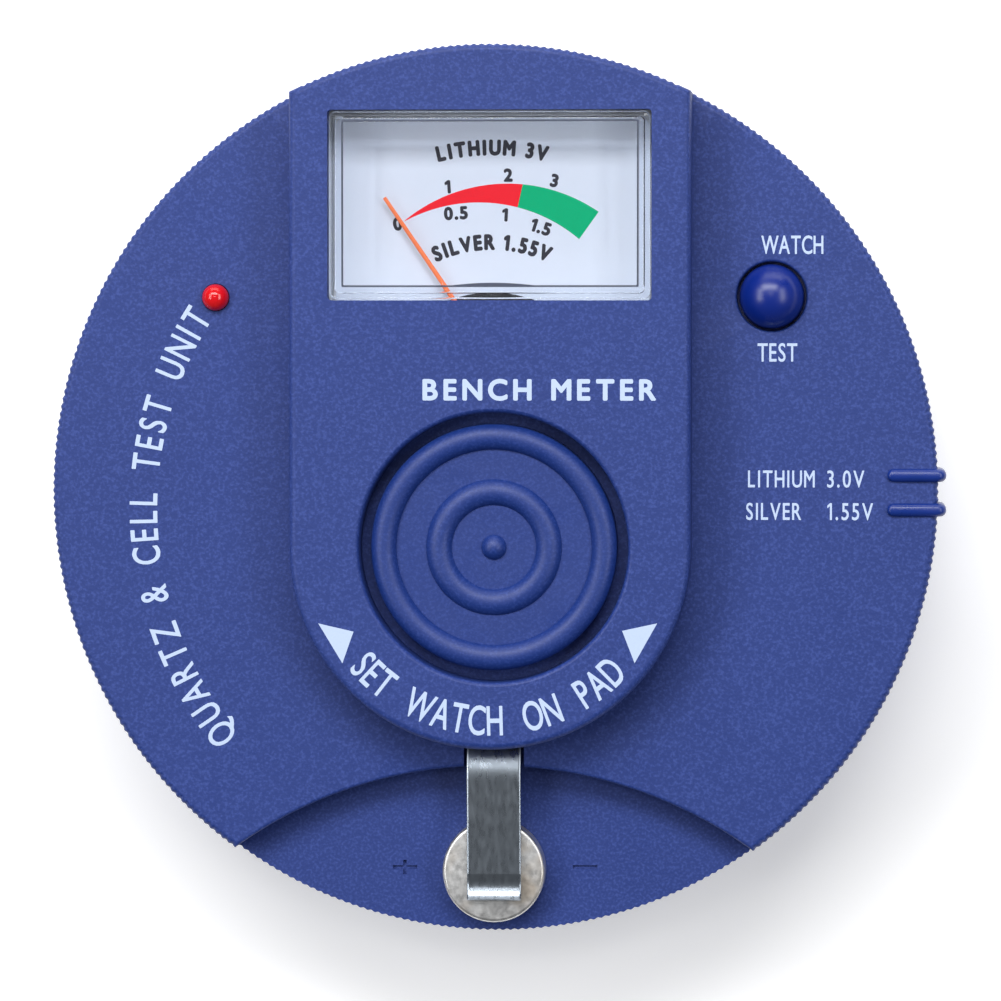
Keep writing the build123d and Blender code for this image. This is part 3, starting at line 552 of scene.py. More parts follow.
def watch_pad():
    valley = PAD_TOP - 1.1
    dome_r, dome_base = 1.5, valley - 0.5
    foot = sqrt(dome_r ** 2 - (valley - dome_base) ** 2)
    profile = [(0, RECESS_Z), (PAD_R, RECESS_Z)]
    profile += arc_through((PAD_R, PAD_TOP - 1.0), (12.4, PAD_TOP), (10.9, valley), 24)
    profile += arc_through((7.6, valley), (6.15, PAD_TOP - 0.15), (4.7, valley), 24)
    start = atan2(valley - dome_base, foot)
    for i in range(20):
        angle = start + (pi / 2 - start) * i / 20
        profile.append((dome_r * cos(angle), dome_base + dome_r * sin(angle)))
    profile.append((0, dome_base + dome_r))
    return lathe("pad", profile, WATCH, 256)


def range_knob():
    y = KNOB.y
    knob = block((46.6, 49.2), (y - 1.75, y + 1.75), (15.95, 20.05))
    for offset in (-1.1, 0.0, 1.1):
        add(knob, block((49.1, 49.65), (y + offset - 0.28, y + offset + 0.28), (16.2, 19.8)))
    return cut(knob, block((46, 47.55), (y - 0.82, y + 0.82), (17.28, 18.82)))


# --- contacts and cell --------------------------------------------------------------------------------
def rounded_path(points, radii, steps=8):
    """Open line through points, with each corner rounded to its own radius."""
    line = [points[0]]
    for before, corner, after, radius in zip(points, points[1:], points[2:], radii):
        a = (Vector(before) - Vector(corner)).normalized()
        b = (Vector(after) - Vector(corner)).normalized()
        half = a.angle(b) / 2
        reach = radius / tan(half)
        centre = Vector(corner) + (a + b).normalized() * radius / sin(half)
        start, end = Vector(corner) + a * reach, Vector(corner) + b * reach
        first = atan2(start.y - centre.y, start.x - centre.x)
        turn = (atan2(end.y - centre.y, end.x - centre.x) - first + pi) % (2 * pi) - pi
        for i in range(steps + 1):
            angle = first + turn * i / steps
            line.append((centre.x + radius * cos(angle), centre.y + radius * sin(angle)))
    return line + [points[-1]]


def contact_strip():
    """Bent spring blade with rolled long edges."""
    line = rounded_path([(-24.15, STRIP_ROOT_Z)] + STRIP_BENDS, STRIP_BEND_R)
    normals = []
    for i in range(len(line)):
        ahead = Vector(line[min(i + 1, len(line) - 1)]) - Vector(line[max(i - 1, 0)])
        normals.append(Vector((-ahead.y, ahead.x)).normalized())
    rolled, drop, steps = 0.4, 0.12, 6
    rings = []
    for i in range(2 * steps + 1):
        turn = -pi / 2 + pi * i / (2 * steps)
        x = STRIP_X + sign(turn) * (STRIP_W / 2 - rolled) + rolled * sin(turn)
        half = STRIP_T / 2 - drop * (1 - cos(turn))
        upper = [Vector(p) - n * half for p, n in zip(line, normals)]
        lower = [Vector(p) + n * half for p, n in zip(line, normals)]
        rings.append([(x, p.x, p.y) for p in upper + lower[::-1]])
    return stack("strip", rings)


def cell_can():
    low, high = CELL_LOW, CELL_HIGH
    inner = CELL_R - 0.3
    profile = [(0, high - 0.3), (inner, high - 0.3), (inner, low + 0.6), (CELL_R - 0.75, low + 0.6)]
    profile += [(CELL_R - 0.75, low + 0.3), (CELL_R, low + 0.3)]
    profile += quarter(CELL_R, high, 0.45, 1, 8) + [(0, high)]
    return lathe("can", profile, CELL, 192)


def cell_cap():
    low, high, radius = CELL_LOW, CELL_LOW + 1.5, CELL_R - 1.2
    profile = [(0, low)] + quarter(radius, low, 0.3, -1, 6) + [(radius, high), (0, high)]
    return lathe("cap", profile, CELL, 128)


# --- meter --------------------------------------------------------------------------------------------
WELL = (33.15, 18.6)             # hollow of the cover under its window
WELL_AT = (0.07, 32.22)
STEP_SHADOW = 0.2                  # width of the painted shadow line round the pane
WELL_FOOT = WELL_AT[1] - WELL[1] / 2


def cover_rim():
    """The clear cover without its pane: flange, raised border with two small steps, and the hollow inside."""
    ceiling = POD_Z - TOP
    low = COVER_TOP - 0.55
    rim = slab("cover", COVER_SIZE[0], COVER_SIZE[1], HOUSING_TOP, ceiling, COVER_AT, 1.2)
    border = slab("tool", WINDOW[0] - 0.3, WINDOW[1] - 0.3, ceiling - 0.5, low, WINDOW_AT, 0.8, 0.2)
    step = slab("tool", WINDOW[0] - 1.5, WINDOW[1] - 1.5, low - 0.3, COVER_TOP, WINDOW_AT, 0.6, 0.25)
    add(rim, border, step)
    inner = slab("tool", COVER_SIZE[0] - 2, COVER_SIZE[1] - 2, HOUSING_TOP - 1, ceiling - 1.2, COVER_AT, 0.3)
    well = slab("tool", WELL[0], WELL[1], HOUSING_TOP - 1, COVER_TOP + 1, WELL_AT, 0.4)
    return cut(rim, inner, well)


def cover_pane():
    """Pane with a notch in its lower edge, where the painted shadow sliver at its step lies."""
    inset = 2 * STEP_SHADOW + 0.02
    pane = slab("pane", WELL[0] - inset, WELL[1] - inset, COVER_TOP - 1.2, COVER_TOP, WELL_AT, 0.1, 0.05)
    notch = block((METER_X - 5.2, METER_X + 6.0), (20, WELL_FOOT + 0.5), (COVER_TOP - 0.52, 40))
    return cut(pane, notch)


def painted_step_shadow():
    """Painted shadow: a dark line round the pane at its step down from the border, and a dark sliver along
    its foot for the shadow of the shield's edge.
    """
    low, high, gap = COVER_TOP - 0.5, COVER_TOP - 0.1, 0.01
    line = slab("line", WELL[0] - gap, WELL[1] - gap, low, high, WELL_AT, 0.15)
    inner = slab("tool", WELL[0] - 2 * STEP_SHADOW, WELL[1] - 2 * STEP_SHADOW, low - 1, high + 1, WELL_AT, 0.1)
    cut(line, inner)
    foot, mid_x = WELL_FOOT + 0.1, METER_X + 0.4
    half, rise = 5.3, 0.38
    sliver = arc_through((mid_x + half, foot), (mid_x, foot + rise), (mid_x - half, foot), 24)
    return add(line, stack("tool", [[(x, y, z) for x, y in sliver] for z in (low, high)]))


def dial_plate():
    low, high = box_mm("dial_plate")
    size = high - low
    return slab("dial", size.x, size.y, low.z, high.z, (low + high) / 2, 1.0)


def shield():
    low, high = box_mm("movement_shield")
    radius = 14.0
    centre = (METER_X, high.y - radius)
    half = radius * sin(radians(42))
    points = arc_through((centre[0] + half, low.y), (centre[0], high.y), (centre[0] - half, low.y), 48)
    return stack("shield", [[(x, y, z) for x, y in points] for z in (low.z, high.z)])


def pointer():
    """Tapered needle with a round eye, drawn straight up the dial and turned to its resting place."""
    low, high = box_mm("pointer")
    at = Vector((PIVOT[0], PIVOT[1], 0))
    middle_z = (low.z + high.z) / 2
    thick = (high.z - low.z) / 2
    turns = [2 * pi * i / 12 for i in range(12)]
    rings = []
    for y, half in ((1.2, 0.30), (POINTER_LENGTH, 0.21)):
        rings.append([(half * cos(a), y, middle_z + thick * sin(a)) for a in turns])
    blade = stack("blade", [ring[::-1] for ring in rings])
    eye = lathe("eye", [(0, low.z), (1.4, low.z), (1.4, high.z), (0, high.z)], steps=48)
    add(blade, eye)
    cut(blade, disc(0.75, low.z - 1, high.z + 1, steps=48))
    turn = Matrix.Translation(at * MM) @ Matrix.Rotation(radians(POINTER_REST), 4, "Z")
    blade.data.transform(turn)
    return blade


# --- lettering and printed marks ----------------------------------------------------------------------
PRINT = 0.03                     # thickness of a printed mark


def figure_one(size):
    """A figure 1 with a flag, which the built-in typeface draws as a plain bar."""
    bar, flag, drop = 0.09 * size, 0.15 * size, 0.10 * size
    top = CAP * size
    outline = [(0, 0), (bar, 0), (bar, top), (0, top)]
    outline += [(-flag, top - drop), (-flag, top - drop - bar), (0, top - bar)]
    piece = stack("letter", [[(x, y, z) for x, y in outline] for z in (-PRINT / 2, PRINT / 2)])
    piece.data.transform(Matrix.Scale(1 / MM, 4))
    return piece


def raw_letter(character, size):
    """Raised letter of the built-in typeface, as an object in its own units."""
    if character == "1":
        return figure_one(size)
    text = bpy.data.curves.new("letter", "FONT")
    text.body = character
    text.size = size
    text.extrude = PRINT / 2
    text.resolution_u = 5
    holder = bpy.data.objects.new("letter", text)
    bpy.context.scene.collection.objects.link(holder)
    bpy.context.view_layer.update()
    mesh = bpy.data.meshes.new_from_object(holder.evaluated_get(bpy.context.evaluated_depsgraph_get()))
    bpy.data.objects.remove(holder)
    bpy.data.curves.remove(text)
    shape = bmesh.new()
    shape.from_mesh(mesh)
    bmesh.ops.remove_doubles(shape, verts=shape.verts, dist=1e-4)
    bmesh.ops.recalc_face_normals(shape, faces=shape.faces)
    shape.to_mesh(mesh)
    shape.free()
    piece = bpy.data.objects.new("letter", mesh)
    bpy.context.scene.collection.objects.link(piece)
    return piece


def letter(character, height, squeeze, weight):
    """One letter, its left end at the baseline's start, and its width. weight widens its strokes."""
    piece = raw_letter(character, (height - weight) / CAP)
    piece.data.transform(Matrix.Diagonal((squeeze, 1, 1, 1)))
    if weight:
        copies = []
        for i in range(1, 8):
            angle = 2 * pi * i / 8
            copy = bpy.data.objects.new("letter", piece.data.copy())
            bpy.context.scene.collection.objects.link(copy)
            copy.data.transform(Matrix.Translation((weight / 2 * cos(angle), weight / 2 * sin(angle), 0)))
            copies.append(copy)
        piece.data.transform(Matrix.Translation((weight / 2, 0, 0)))
        add(piece, *copies)
    shape = bmesh.new()
    shape.from_mesh(piece.data)
    bpy.data.objects.remove(piece)
    left = min(v.co.x for v in shape.verts)
    right = max(v.co.x for v in shape.verts)
    bmesh.ops.translate(shape, vec=(-left, weight / 2, 0), verts=shape.verts)
    return shape, right - left


def cap_height():
    """Height of a capital of the built-in typeface at size 1."""
    sample = raw_letter("H", 1.0)
    height = max(v.co.y for v in sample.data.vertices)
    bpy.data.objects.remove(sample)
    return height


CAP = cap_height()


def lettering(name, words, height, place, z, squeeze=0.75, weight=0.0, gap=0.28, space=0.38, tracking=None):
    """Raised letters along a line. place(distance) gives x, y and angle, with 0 in the middle of the words.
    gap and space are parts of the height, and tracking is the length that the words are spread over."""
    spaces = gap * height
    letters = []
    length = 0.0
    for character in words:
        if character == " ":
            length += space * height + spaces
            continue
        shape, width = letter(character, height, squeeze, weight)
        letters.append((shape, length + width / 2, width))
        length += width + spaces
    length -= spaces
    stretch = tracking / length if tracking else 1.0
    whole = bmesh.new()
    mesh = bpy.data.meshes.new(name)
    for shape, centre, width in letters:
        x, y, angle = place((centre - length / 2) * stretch)
        turn = Matrix.Translation((x, y, z)) @ Matrix.Rotation(angle, 4, "Z")
        bmesh.ops.transform(shape, matrix=turn @ Matrix.Translation((-width / 2, 0, 0)), verts=shape.verts)
        shape.to_mesh(mesh)
        whole.from_mesh(mesh)
        shape.free()
    bmesh.ops.scale(whole, vec=(MM, MM, MM), verts=whole.verts)
    bmesh.ops.recalc_face_normals(whole, faces=whole.faces)
    whole.to_mesh(mesh)
    whole.free()
    piece = bpy.data.objects.new(name, mesh)
    bpy.context.scene.collection.objects.link(piece)
    return piece


def level(x, y, angle=0.0):
    """Straight line of words about a middle point on their baseline."""
    tilt = radians(angle)
    return lambda distance: (x + distance * cos(tilt), y + distance * sin(tilt), tilt)


def over(centre, radius, middle_angle):
    """Words round the outside of a circle, read clockwise, with their tops outward."""
    def place(distance):
        angle = radians(middle_angle) - distance / radius
        return centre[0] + radius * cos(angle), centre[1] + radius * sin(angle), angle - pi / 2
    return place


def under(centre, radius, middle_angle):
    """Words round a circle, read anticlockwise, with their tops towards its centre."""
    def place(distance):
        angle = radians(middle_angle) + distance / radius
        return centre[0] + radius * cos(angle), centre[1] + radius * sin(angle), angle + pi / 2
    return place


def flat_print(name, outline, z):
    return stack(name, [[(x, y, z - PRINT / 2 + rise) for x, y in outline] for rise in (0, PRINT)])


BAND_STEPS = 120
BAND_SPLIT = (73, 75)            # where red meets green, along the band's outer and inner edge


def dial_band(name, first, last):
    """Part of the coloured band. first and last count steps along its outer and inner edge."""
    outer = arc_through((-9.9, 30.42), (1.32, 34.55), (11.92, 31.38), BAND_STEPS)
    inner = arc_through((-9.9, 30.35), (0.1, 32.37), (9.73, 28.32), BAND_STEPS)
    points = inner[first[1]:last[1] + 1] + outer[first[0]:last[0] + 1][::-1]
    return flat_print(name, points, DIAL_TOP)


# --- materials ----------------------------------------------------------------------------------------
FINISHES = {row["slot"]: row for row in frame["record"]["materials"]}


class Look:
    """One node material: a Principled shader, and the procedural detail that feeds it."""

    def __init__(self, name, colour, roughness, metallic=0.0, **settings):
        self.material = bpy.data.materials.new(name)
        self.material.use_nodes = True
        self.tree = self.material.node_tree
        self.shader = self.tree.nodes["Principled BSDF"]
        self.colour = (*colour[:3], 1.0)
        self.shader.inputs["Base Color"].default_value = self.colour
        self.shader.inputs["Roughness"].default_value = roughness
        self.shader.inputs["Metallic"].default_value = metallic
        for socket, value in settings.items():
            self.shader.inputs[socket.replace("_", " ").title().replace("Ior", "IOR")].default_value = value
        self.place = self.node("ShaderNodeTexCoord").outputs["Object"]
        self.bumps = None

    def node(self, kind, **inputs):
        node = self.tree.nodes.new(kind)
        for socket, value in inputs.items():
            self.feed(node.inputs[socket.replace("_", " ")], value)
        return node

    def feed(self, socket, value):
        if isinstance(value, bpy.types.NodeSocket):
            self.tree.links.new(value, socket)
        else:
            socket.default_value = value

    def noise(self, size, detail=2.0, stretch=None):
        """Noise with features of a size in millimetres, drawn out by stretch along each axis."""
        place = self.place
        if stretch:
            place = self.node("ShaderNodeMapping", Vector=place, Scale=stretch).outputs["Vector"]
        noise = self.node("ShaderNodeTexNoise", Vector=place, Scale=1 / (size * MM), Detail=detail)
        return noise.outputs["Fac"]

    def bump(self, height, depth, strength=1.0):
        """Adds relief of a depth in millimetres."""
        node = self.node("ShaderNodeBump", Height=height, Distance=depth * MM, Strength=strength)
        if self.bumps:
            self.feed(node.inputs["Normal"], self.bumps)
        self.bumps = node.outputs["Normal"]
        self.feed(self.shader.inputs["Normal"], self.bumps)
        return self

    def spread(self, value, low, high, start=0.3, end=0.7):
        return self.node("ShaderNodeMapRange", Value=value, From_Min=start, From_Max=end,
                         To_Min=low, To_Max=high).outputs["Result"]

    def vary_roughness(self, low, high, size, stretch=None):
        self.feed(self.shader.inputs["Roughness"], self.spread(self.noise(size, 3.0, stretch), low, high))
        return self

    def tint(self, factor, other):
        """Blends the colour so far with another by a factor."""
        mix = self.tree.nodes.new("ShaderNodeMix")
        mix.data_type = "RGBA"
        self.feed(mix.inputs["Factor"], factor)
        base = self.shader.inputs["Base Color"]
        if base.is_linked:
            self.feed(mix.inputs[6], base.links[0].from_socket)
        else:
            mix.inputs[6].default_value = base.default_value
        mix.inputs[7].default_value = (*other[:3], 1.0)
        self.feed(base, mix.outputs[2])
        return self

    def let_light_through(self):
        """Glass that throws no shadow."""
        nodes, links = self.tree.nodes, self.tree.links
        through = nodes.new("ShaderNodeBsdfTransparent")
        through.inputs["Color"].default_value = (0.9, 0.92, 0.96, 1)
        mix = nodes.new("ShaderNodeMixShader")
        links.new(nodes.new("ShaderNodeLightPath").outputs["Is Shadow Ray"], mix.inputs[0])
        links.new(self.shader.outputs[0], mix.inputs[1])
        links.new(through.outputs[0], mix.inputs[2])
        links.new(mix.outputs[0], nodes["Material Output"].inputs["Surface"])
        return self


def shade(colour, by):
    return [min(1.0, c * by) for c in colour[:3]]


def moulded(name, colour, roughness, grain=0.22, depth=0.006):
    """Spark-eroded mould texture: fine grain, cloudy gloss and a faint change of tone."""
    look = Look(name, colour, roughness)
    look.vary_roughness(roughness - 0.05, roughness + 0.06, 6.0)
    look.tint(look.spread(look.noise(14.0), 0.0, 0.35), shade(colour, 1.25))
    look.tint(look.spread(look.noise(grain * 1.6, 1.0), 0.0, 0.30, 0.45, 0.75), shade(colour, 1.7))
    look.bump(look.noise(grain, 2.0), depth)
    return look


def polished(name, colour, roughness=0.12, **settings):
    """Glossy plastic with faint waviness and fine handling marks."""
    look = Look(name, colour, roughness, **settings)
    look.vary_roughness(roughness, roughness + 0.08, 2.5)
    look.bump(look.noise(1.8), 0.004)
    return look


def metal(name, colour, roughness, stretch=(1, 1, 1), grain=0.12, depth=0.0015, dirt=0.5):
    """Plated or drawn metal: fine lines along its rolling direction and cloudy staining."""
    look = Look(name, colour, roughness, 1.0)
    look.vary_roughness(roughness - 0.06, roughness + 0.12, 0.9, stretch)
    look.tint(look.spread(look.noise(1.6, 4.0), 0.0, dirt, 0.45, 0.75), shade(colour, 0.62))
    look.bump(look.noise(grain, 3.0, stretch), depth)
    return look


def make_materials():
    looks = {}
    for slot, row in FINISHES.items():
        colour, kind = row["base_color"], row["class"]
        if kind == "gloss_plastic":
            looks[slot] = polished(slot, colour)
        elif kind == "rubber":
            looks[slot] = moulded(slot, colour, 0.75, 0.3, 0.01)
        elif kind == "painted_metal":
            looks[slot] = moulded(slot, colour, 0.45, 0.12, 0.002)
        elif kind == "matte_plastic":
            looks[slot] = moulded(slot, colour, 0.5)
        elif kind == "brushed_steel" or kind == "aluminium":
            looks[slot] = metal(slot, colour, 0.28, (1, 0.05, 1))
        elif kind == "cast_iron":
            looks[slot] = metal(slot, colour, 0.45, grain=0.3, depth=0.006)
        elif kind == "brass":
            looks[slot] = metal(slot, colour, 0.25)
        else:
            looks[slot] = clear_plastic(slot)
    looks["shell_blue"] = shell_blue()
    looks["pad_blue"] = pad_blue()
    looks["button_blue"] = polished("button_blue", (0.002, 0.016, 0.185), 0.26)
    looks["lamp_red"] = polished("lamp_red", (0.60, 0.006, 0.01), 0.08)
    looks["nickel"] = strip_nickel()
    looks["cell_steel"] = cell_steel()
    looks["dial_white"] = dial_paint()
    looks["needle_orange"] = moulded("needle_orange", (1.0, 0.20, 0.06), 0.45, 0.1, 0.001)
    return {slot: look.material for slot, look in looks.items()}


def shell_blue():
    look = Look("shell_blue", (0.004, 0.024, 0.165), 0.55, specular_ior_level=0.5)
    look.vary_roughness(0.52, 0.62, 9.0)
    look.tint(look.spread(look.noise(18.0), 0.0, 0.5), (0.006, 0.029, 0.185))
    look.tint(look.spread(look.noise(0.32, 1.0), 0.0, 0.6, 0.46, 0.72), (0.035, 0.07, 0.30))
    look.bump(look.noise(0.28, 2.0), 0.022)
    look.bump(look.noise(2.5, 2.0), 0.006)
    return look


def smooth_blue():
    """The shell's plastic where its mould is polished."""
    look = Look("smooth_blue", (0.004, 0.024, 0.18), 0.3)
    look.vary_roughness(0.26, 0.36, 3.0)
    look.tint(look.spread(look.noise(2.0), 0.0, 0.3), (0.01, 0.03, 0.26))
    look.bump(look.noise(0.5), 0.003)
    return look.material


def pad_blue():
    look = Look("pad_blue", (0.004, 0.025, 0.17), 0.5, specular_ior_level=0.5)
    look.vary_roughness(0.44, 0.56, 4.0)
    look.tint(look.spread(look.noise(0.3, 1.0), 0.0, 0.45, 0.46, 0.75), (0.03, 0.065, 0.29))
    look.bump(look.noise(0.24, 2.0), 0.014)
    return look


def strip_nickel():
    """Dull nickel plate with fine grain along the blade."""
    look = Look("nickel", (0.37, 0.42, 0.48), 0.29, 1.0)
    look.vary_roughness(0.25, 0.34, 0.5, (1, 0.3, 1))
    look.tint(look.spread(look.noise(1.6, 4.0), 0.0, 0.25, 0.3, 0.8), (0.30, 0.34, 0.39))
    look.bump(look.noise(0.25, 2.0, (1, 0.15, 1)), 0.0006)
    return look


def cell_steel():
    """Satin can with soft stains, browner in places."""
    look = Look("cell_steel", (0.72, 0.72, 0.72), 0.42, 1.0)
    look.vary_roughness(0.36, 0.52, 0.8)
    look.tint(look.spread(look.noise(0.6, 4.0), 0.0, 0.7, 0.3, 0.8), (0.44, 0.44, 0.43))
    look.tint(look.spread(look.noise(4.0, 2.0), 0.0, 0.6, 0.45, 0.7), (0.52, 0.42, 0.31))
    look.bump(look.noise(0.22, 3.0), 0.004)
    return look


def dial_paint():
    look = Look("dial_white", (0.76, 0.82, 0.93), 0.6, specular_ior_level=0.25)
    look.vary_roughness(0.55, 0.7, 5.0)
    look.tint(look.spread(look.noise(6.0), 0.0, 0.3), (0.74, 0.80, 0.92))
    look.bump(look.noise(0.12), 0.001)
    return look


def clear_plastic(name):
    """Clear moulded plastic that lets the lamps' light through."""
    look = Look(name, (0.90, 0.93, 0.98), 0.06, ior=1.49, transmission_weight=1.0)
    look.bump(look.noise(3.0), 0.004)
    return look.let_light_through()


def window_pane():
    """Flat clear pane: mirrors a little and is otherwise seen through."""
    look = Look("clear_pane", (0.9, 0.93, 0.98), 0.05)
    nodes, links = look.tree.nodes, look.tree.links
    gloss = look.node("ShaderNodeBsdfGlossy", Color=(1, 1, 1, 1), Roughness=0.05)
    clear = look.node("ShaderNodeBsdfTransparent", Color=(0.985, 0.99, 1.0, 1))
    edge = look.node("ShaderNodeFresnel", IOR=1.45)
    mix = nodes.new("ShaderNodeMixShader")
    for socket, source in zip(mix.inputs, (edge, clear, gloss)):
        links.new(source.outputs[0], socket)
    links.new(mix.outputs[0], nodes["Material Output"].inputs["Surface"])
    nodes.remove(look.shader)
    return look.material


def print_ink(name, colour, roughness=0.55, gloss=0.4):
    """Screen print: slightly uneven ink over the grain below it."""
    look = Look(name, colour, roughness, specular_ior_level=gloss)
    look.vary_roughness(roughness - 0.1, roughness + 0.1, 1.2)
    look.tint(look.spread(look.noise(0.25, 2.0), 0.0, 0.25, 0.5, 0.8), shade(colour, 0.8))
    look.bump(look.noise(0.22), 0.004)
    return look.material


# --- putting it together ------------------------------------------------------------------------------
def dress(piece, name, slot, body, *nodes, angle=32, material=None):
    """Smooths a piece and finishes it with its slot's material, unless it has one of its own."""
    smooth(piece, angle)
    return finish_piece(piece, name, material or LOOKS[slot], slot, body, *nodes)


def make_casing():
    dress(upper_shell(), "shell_top", "shell_blue", "case", "upper_shell")
    marks = join([index_mark(KNOB.y), index_mark(KNOB.y + KNOB_TRAVEL)])
    dress(marks, "index_marks", "shell_blue", "case", "upper_shell", angle=50, material=smooth_blue())
    dress(lower_shell(), "shell_bottom", "shell_blue", "case", "lower_shell")
    dress(rubber_feet(), "feet", "foot_rubber", "case", "rubber_feet")
    screws = screw_heads(CASE_SCREWS, 7.0, 2.5, 1.9, 1.25, 15.0)
    dress(screws, "long_screws", "screw_steel", "case", "case_screws")
    dress(battery_door(), "hatch", "shell_blue", "battery_hatch", "battery_door")


def make_controls():
    dress(button_cap(), "push_button", "button_blue", "test_button", "button_cap")
    dress(lamp_lens(), "lamp", "lamp_red", "case", "led_lens")
    dress(watch_pad(), "ringed_pad", "pad_blue", "case", "watch_pad")
    dress(range_knob(), "side_knob", "knob_black", "cell_selector", "range_knob")


def make_contacts():
    dress(contact_strip(), "spring_strip", "nickel", "contact_blade", "contact_strip")
    dress(cell_can(), "button_cell", "cell_steel", "test_cell", "cell_can")
    dress(cell_cap(), "button_cell_cap", "cell_steel", "test_cell", "cell_cap")
    plate = cut(disc(4.5, TRAY_Z - 0.25, TRAY_Z + 0.05, CELL), disc(1.0, 20, 30, CELL, 64))
    dress(plate, "contact_disc", "nickel", "case", "contact_plate")


def make_meter():
    dress(cover_rim(), "meter_glass_border", "clear_cover", "case", "meter_cover")
    dress(cover_pane(), "meter_glass", "clear_cover", "case", "meter_cover", material=window_pane())
    # painted shadow: a dark grey line and sliver stand in for the shade at the pane's step
    dark = moulded("painted_step_shadow_grey", (0.045, 0.055, 0.09), 0.5).material
    dress(painted_step_shadow(), "meter_painted_step_shadow", "clear_cover", "case", "meter_cover", material=dark)
    dress(dial_plate(), "dial", "dial_white", "case", "dial_plate")
    dress(shield(), "black_shield", "shield_black", "case", "movement_shield")
    dress(pointer(), "needle_blade", "needle_orange", "needle", "pointer")


def make_print():
    white = print_ink("legend_white", (0.46, 0.56, 0.76))
    black = print_ink("dial_black", (0.02, 0.02, 0.035))
    red = print_ink("band_red", (0.98, 0.014, 0.03), gloss=0.15)
    green = print_ink("band_green", (0.0, 0.47, 0.20), gloss=0.1)
    shell_z, pod_z, dial_z = DISC_Z, POD_TOP, DIAL_TOP

    def legend(name, words, height, place, z, ink=white, **how):
        piece = lettering(name, words, height, place, z, **how)
        slot = "shell_blue" if ink is white else "dial_white"
        finish_piece(piece, name, ink, slot, "case")

    title = over((1.47, -2.07), 39.5, 183.5)
    legend("title_words", "QUARTZ & CELL TEST UNIT", 3.15, title, shell_z,
           tracking=50.0, weight=0.08, squeeze=0.70)
    pad_line = under(POD_CENTRE, 20.85, 268.9)
    legend("pad_words", "SET WATCH ON PAD", 3.3, pad_line, pod_z,
           tracking=35.0, weight=0.08, squeeze=0.62, gap=0.22, space=0.62)
    legend("pod_words", "BENCH METER", 2.4, level(5.6, 10.3), pod_z, squeeze=1.0, weight=0.22, tracking=26.0)
    for name, words, height, x, y, length, squeeze in (
            ("watch_word", "WATCH", 2.05, 33.65, 26.65, 6.55, 0.62),
            ("test_word", "TEST", 2.05, 31.95, 14.6, 4.15, 0.66),
            ("lithium_word", "LITHIUM", 1.9, 32.4, 0.5, 7.3, 0.66),
            ("silver_word", "SILVER", 1.9, 31.55, -3.15, 6.0, 0.68),
            ("lithium_volts", "3.0V", 1.9, 39.6, 0.5, 4.0, 0.72),
            ("silver_volts", "1.55V", 1.9, 40.1, -3.15, 5.0, 0.72)):
        legend(name, words, height, level(x, y), shell_z, tracking=length, weight=0.05, squeeze=squeeze)
    for name, corners in (("arrow_left", [(-16.4, -19.05), (-15.15, -15.5), (-19.1, -14.6)]),
                          ("arrow_right", [(18.75, -14.45), (14.85, -15.3), (16.25, -18.9)])):
        arrow = flat_print(name, corners, pod_z)
        finish_piece(arrow, name, white, "shell_blue", "case")

    above = over((-0.05, 12.7), 25.0, 90.0)
    below = over((-0.1, 12.5), 14.6, 90.0)
    for name, words, line, length, space in (("dial_lithium", "LITHIUM 3V", above, 12.1, 0.3),
                                             ("dial_silver", "SILVER 1.55V", below, 12.7, 0.2)):
        legend(name, words, 1.8, line, dial_z, black, tracking=length, weight=0.25, squeeze=0.82, space=space)
    for name, words, x, y, angle in (("dial_one", "1", -5.0, 33.45, 4), ("dial_two", "2", 1.75, 34.75, 0),
                                     ("dial_three", "3", 6.8, 34.15, -12), ("dial_zero", "0", -10.6, 29.3, 8),
                                     ("dial_half", "0.5", -4.1, 30.5, 3), ("dial_unit", "1", 1.35, 30.3, -3),
                                     ("dial_half_more", "1.5", 5.2, 28.95, -18)):
        legend(name, words, 1.5, level(x, y, angle), dial_z, black, weight=0.2, squeeze=1.0, gap=0.1)
    for name, ink, first, last in (("dial_red", red, (0, 0), BAND_SPLIT),
                                   ("dial_green", green, BAND_SPLIT, (BAND_STEPS, BAND_STEPS))):
        finish_piece(dial_band(name, first, last), name, ink, "dial_white", "case")


def repaint_nodes():
    """Gives every CAD node its procedural material."""
    slots = {row["node"]: row["material_slot"] for row in frame["record"]["subparts"]}
    for name, node in NODES.items():
        for slot in node.material_slots:
            slot.material = LOOKS[slots[name]]


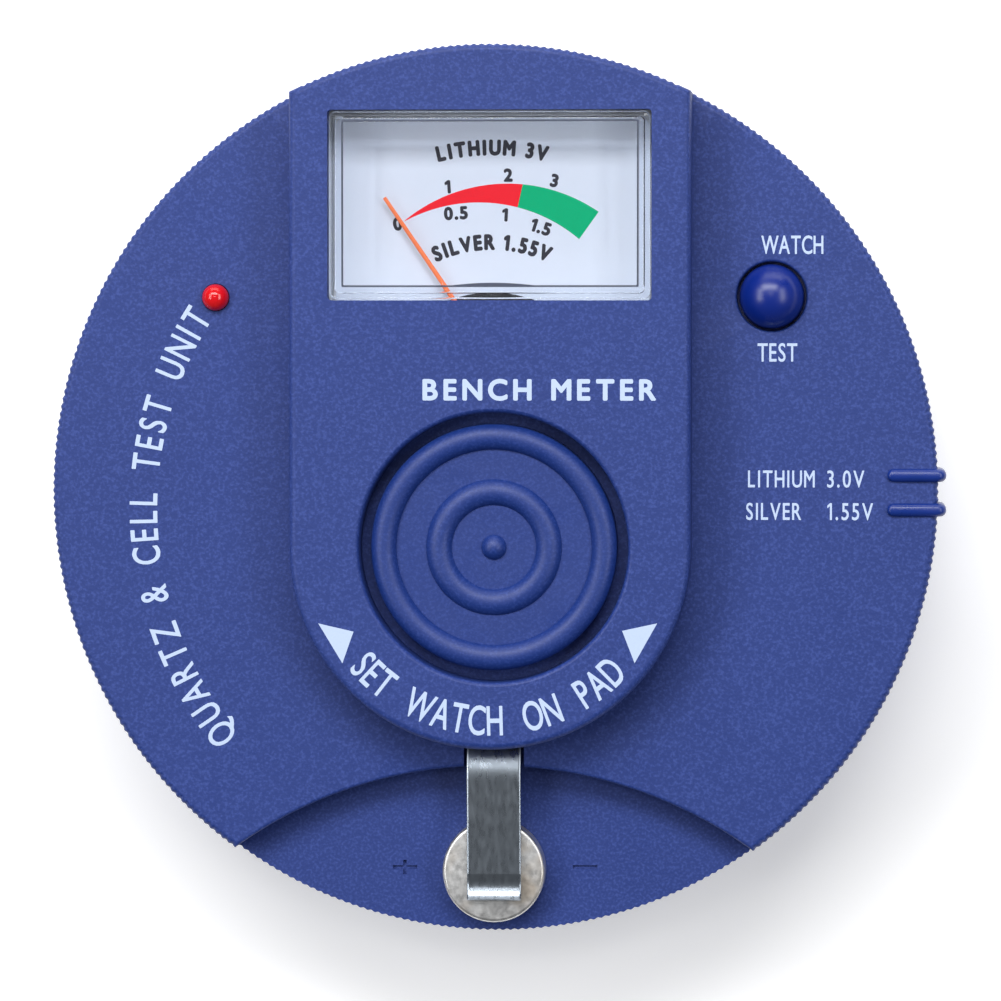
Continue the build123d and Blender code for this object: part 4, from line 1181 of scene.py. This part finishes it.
# --- stage --------------------------------------------------------------------------------------------
def make_floor():
    half = 1500
    corners = [(-half, -half, 0), (half, -half, 0), (half, half, 0), (-half, half, 0)]
    floor = solid("floor", corners, [(0, 1, 2, 3)])
    look = Look("floor_white", (0.92, 0.92, 0.92), 0.7, emission_color=(1, 1, 1, 1), emission_strength=0.25)
    look.vary_roughness(0.6, 0.8, 40.0)
    floor.data.materials.append(look.material)


def aim(thing, place, target, up=(0, 1, 0)):
    """Puts a lamp or camera at a place in millimetres, looking at a target."""
    forward = (Vector(target) - Vector(place)).normalized()
    right = forward.cross(Vector(up)).normalized()
    turn = Matrix((right, right.cross(forward), -forward)).transposed()
    thing.matrix_world = Matrix.Translation(Vector(place) * MM) @ turn.to_4x4()


def area_lamp(name, place, size, watts):
    light = bpy.data.lights.new(name, "AREA")
    light.shape = "RECTANGLE"
    light.size, light.size_y = size[0] * MM, size[1] * MM
    light.energy = watts
    lamp = bpy.data.objects.new(name, light)
    bpy.context.scene.collection.objects.link(lamp)
    aim(lamp, place, (0, 0, 20), (0, 1, 0.01))


def make_studio():
    area_lamp("back_light", (-90, 560, 790), (900, 260), 8.2)
    area_lamp("left_light", (-600, 110, 700), (300, 700), 3.6)
    area_lamp("right_light", (600, 100, 700), (260, 700), 3.0)
    area_lamp("top_light", (-20, 170, 900), (200, 80), 0.4)
    area_lamp("back_panel", (0, 1000, 240), (1300, 360), 3.5)
    world = bpy.data.worlds.new("studio")
    world.use_nodes = True
    sky = world.node_tree.nodes["Background"]
    sky.inputs["Color"].default_value = (0.95, 0.97, 1.0, 1.0)
    sky.inputs["Strength"].default_value = 0.12
    bpy.context.scene.world = world
    bpy.context.scene.view_settings.view_transform = "Standard"


def make_camera():
    camera = bpy.data.cameras.new("camera")
    camera.lens = 191.1
    camera.sensor_width = 36.0
    camera.clip_start, camera.clip_end = 0.05, 10.0
    viewer = bpy.data.objects.new("camera", camera)
    bpy.context.scene.collection.objects.link(viewer)
    tilt_x, tilt_y, distance = radians(3.95), radians(1.85), 600.0
    away = Vector((tan(tilt_x), tan(tilt_y), 1.0)).normalized()
    centre = Vector((0, 0, 25))
    aim(viewer, centre + away * distance, (0.72, -1.11, 25))
    bpy.context.scene.camera = viewer


LOOKS = make_materials()
make_floor()
make_studio()
make_camera()
repaint_nodes()
make_casing()
make_controls()
make_contacts()
make_meter()
make_print()
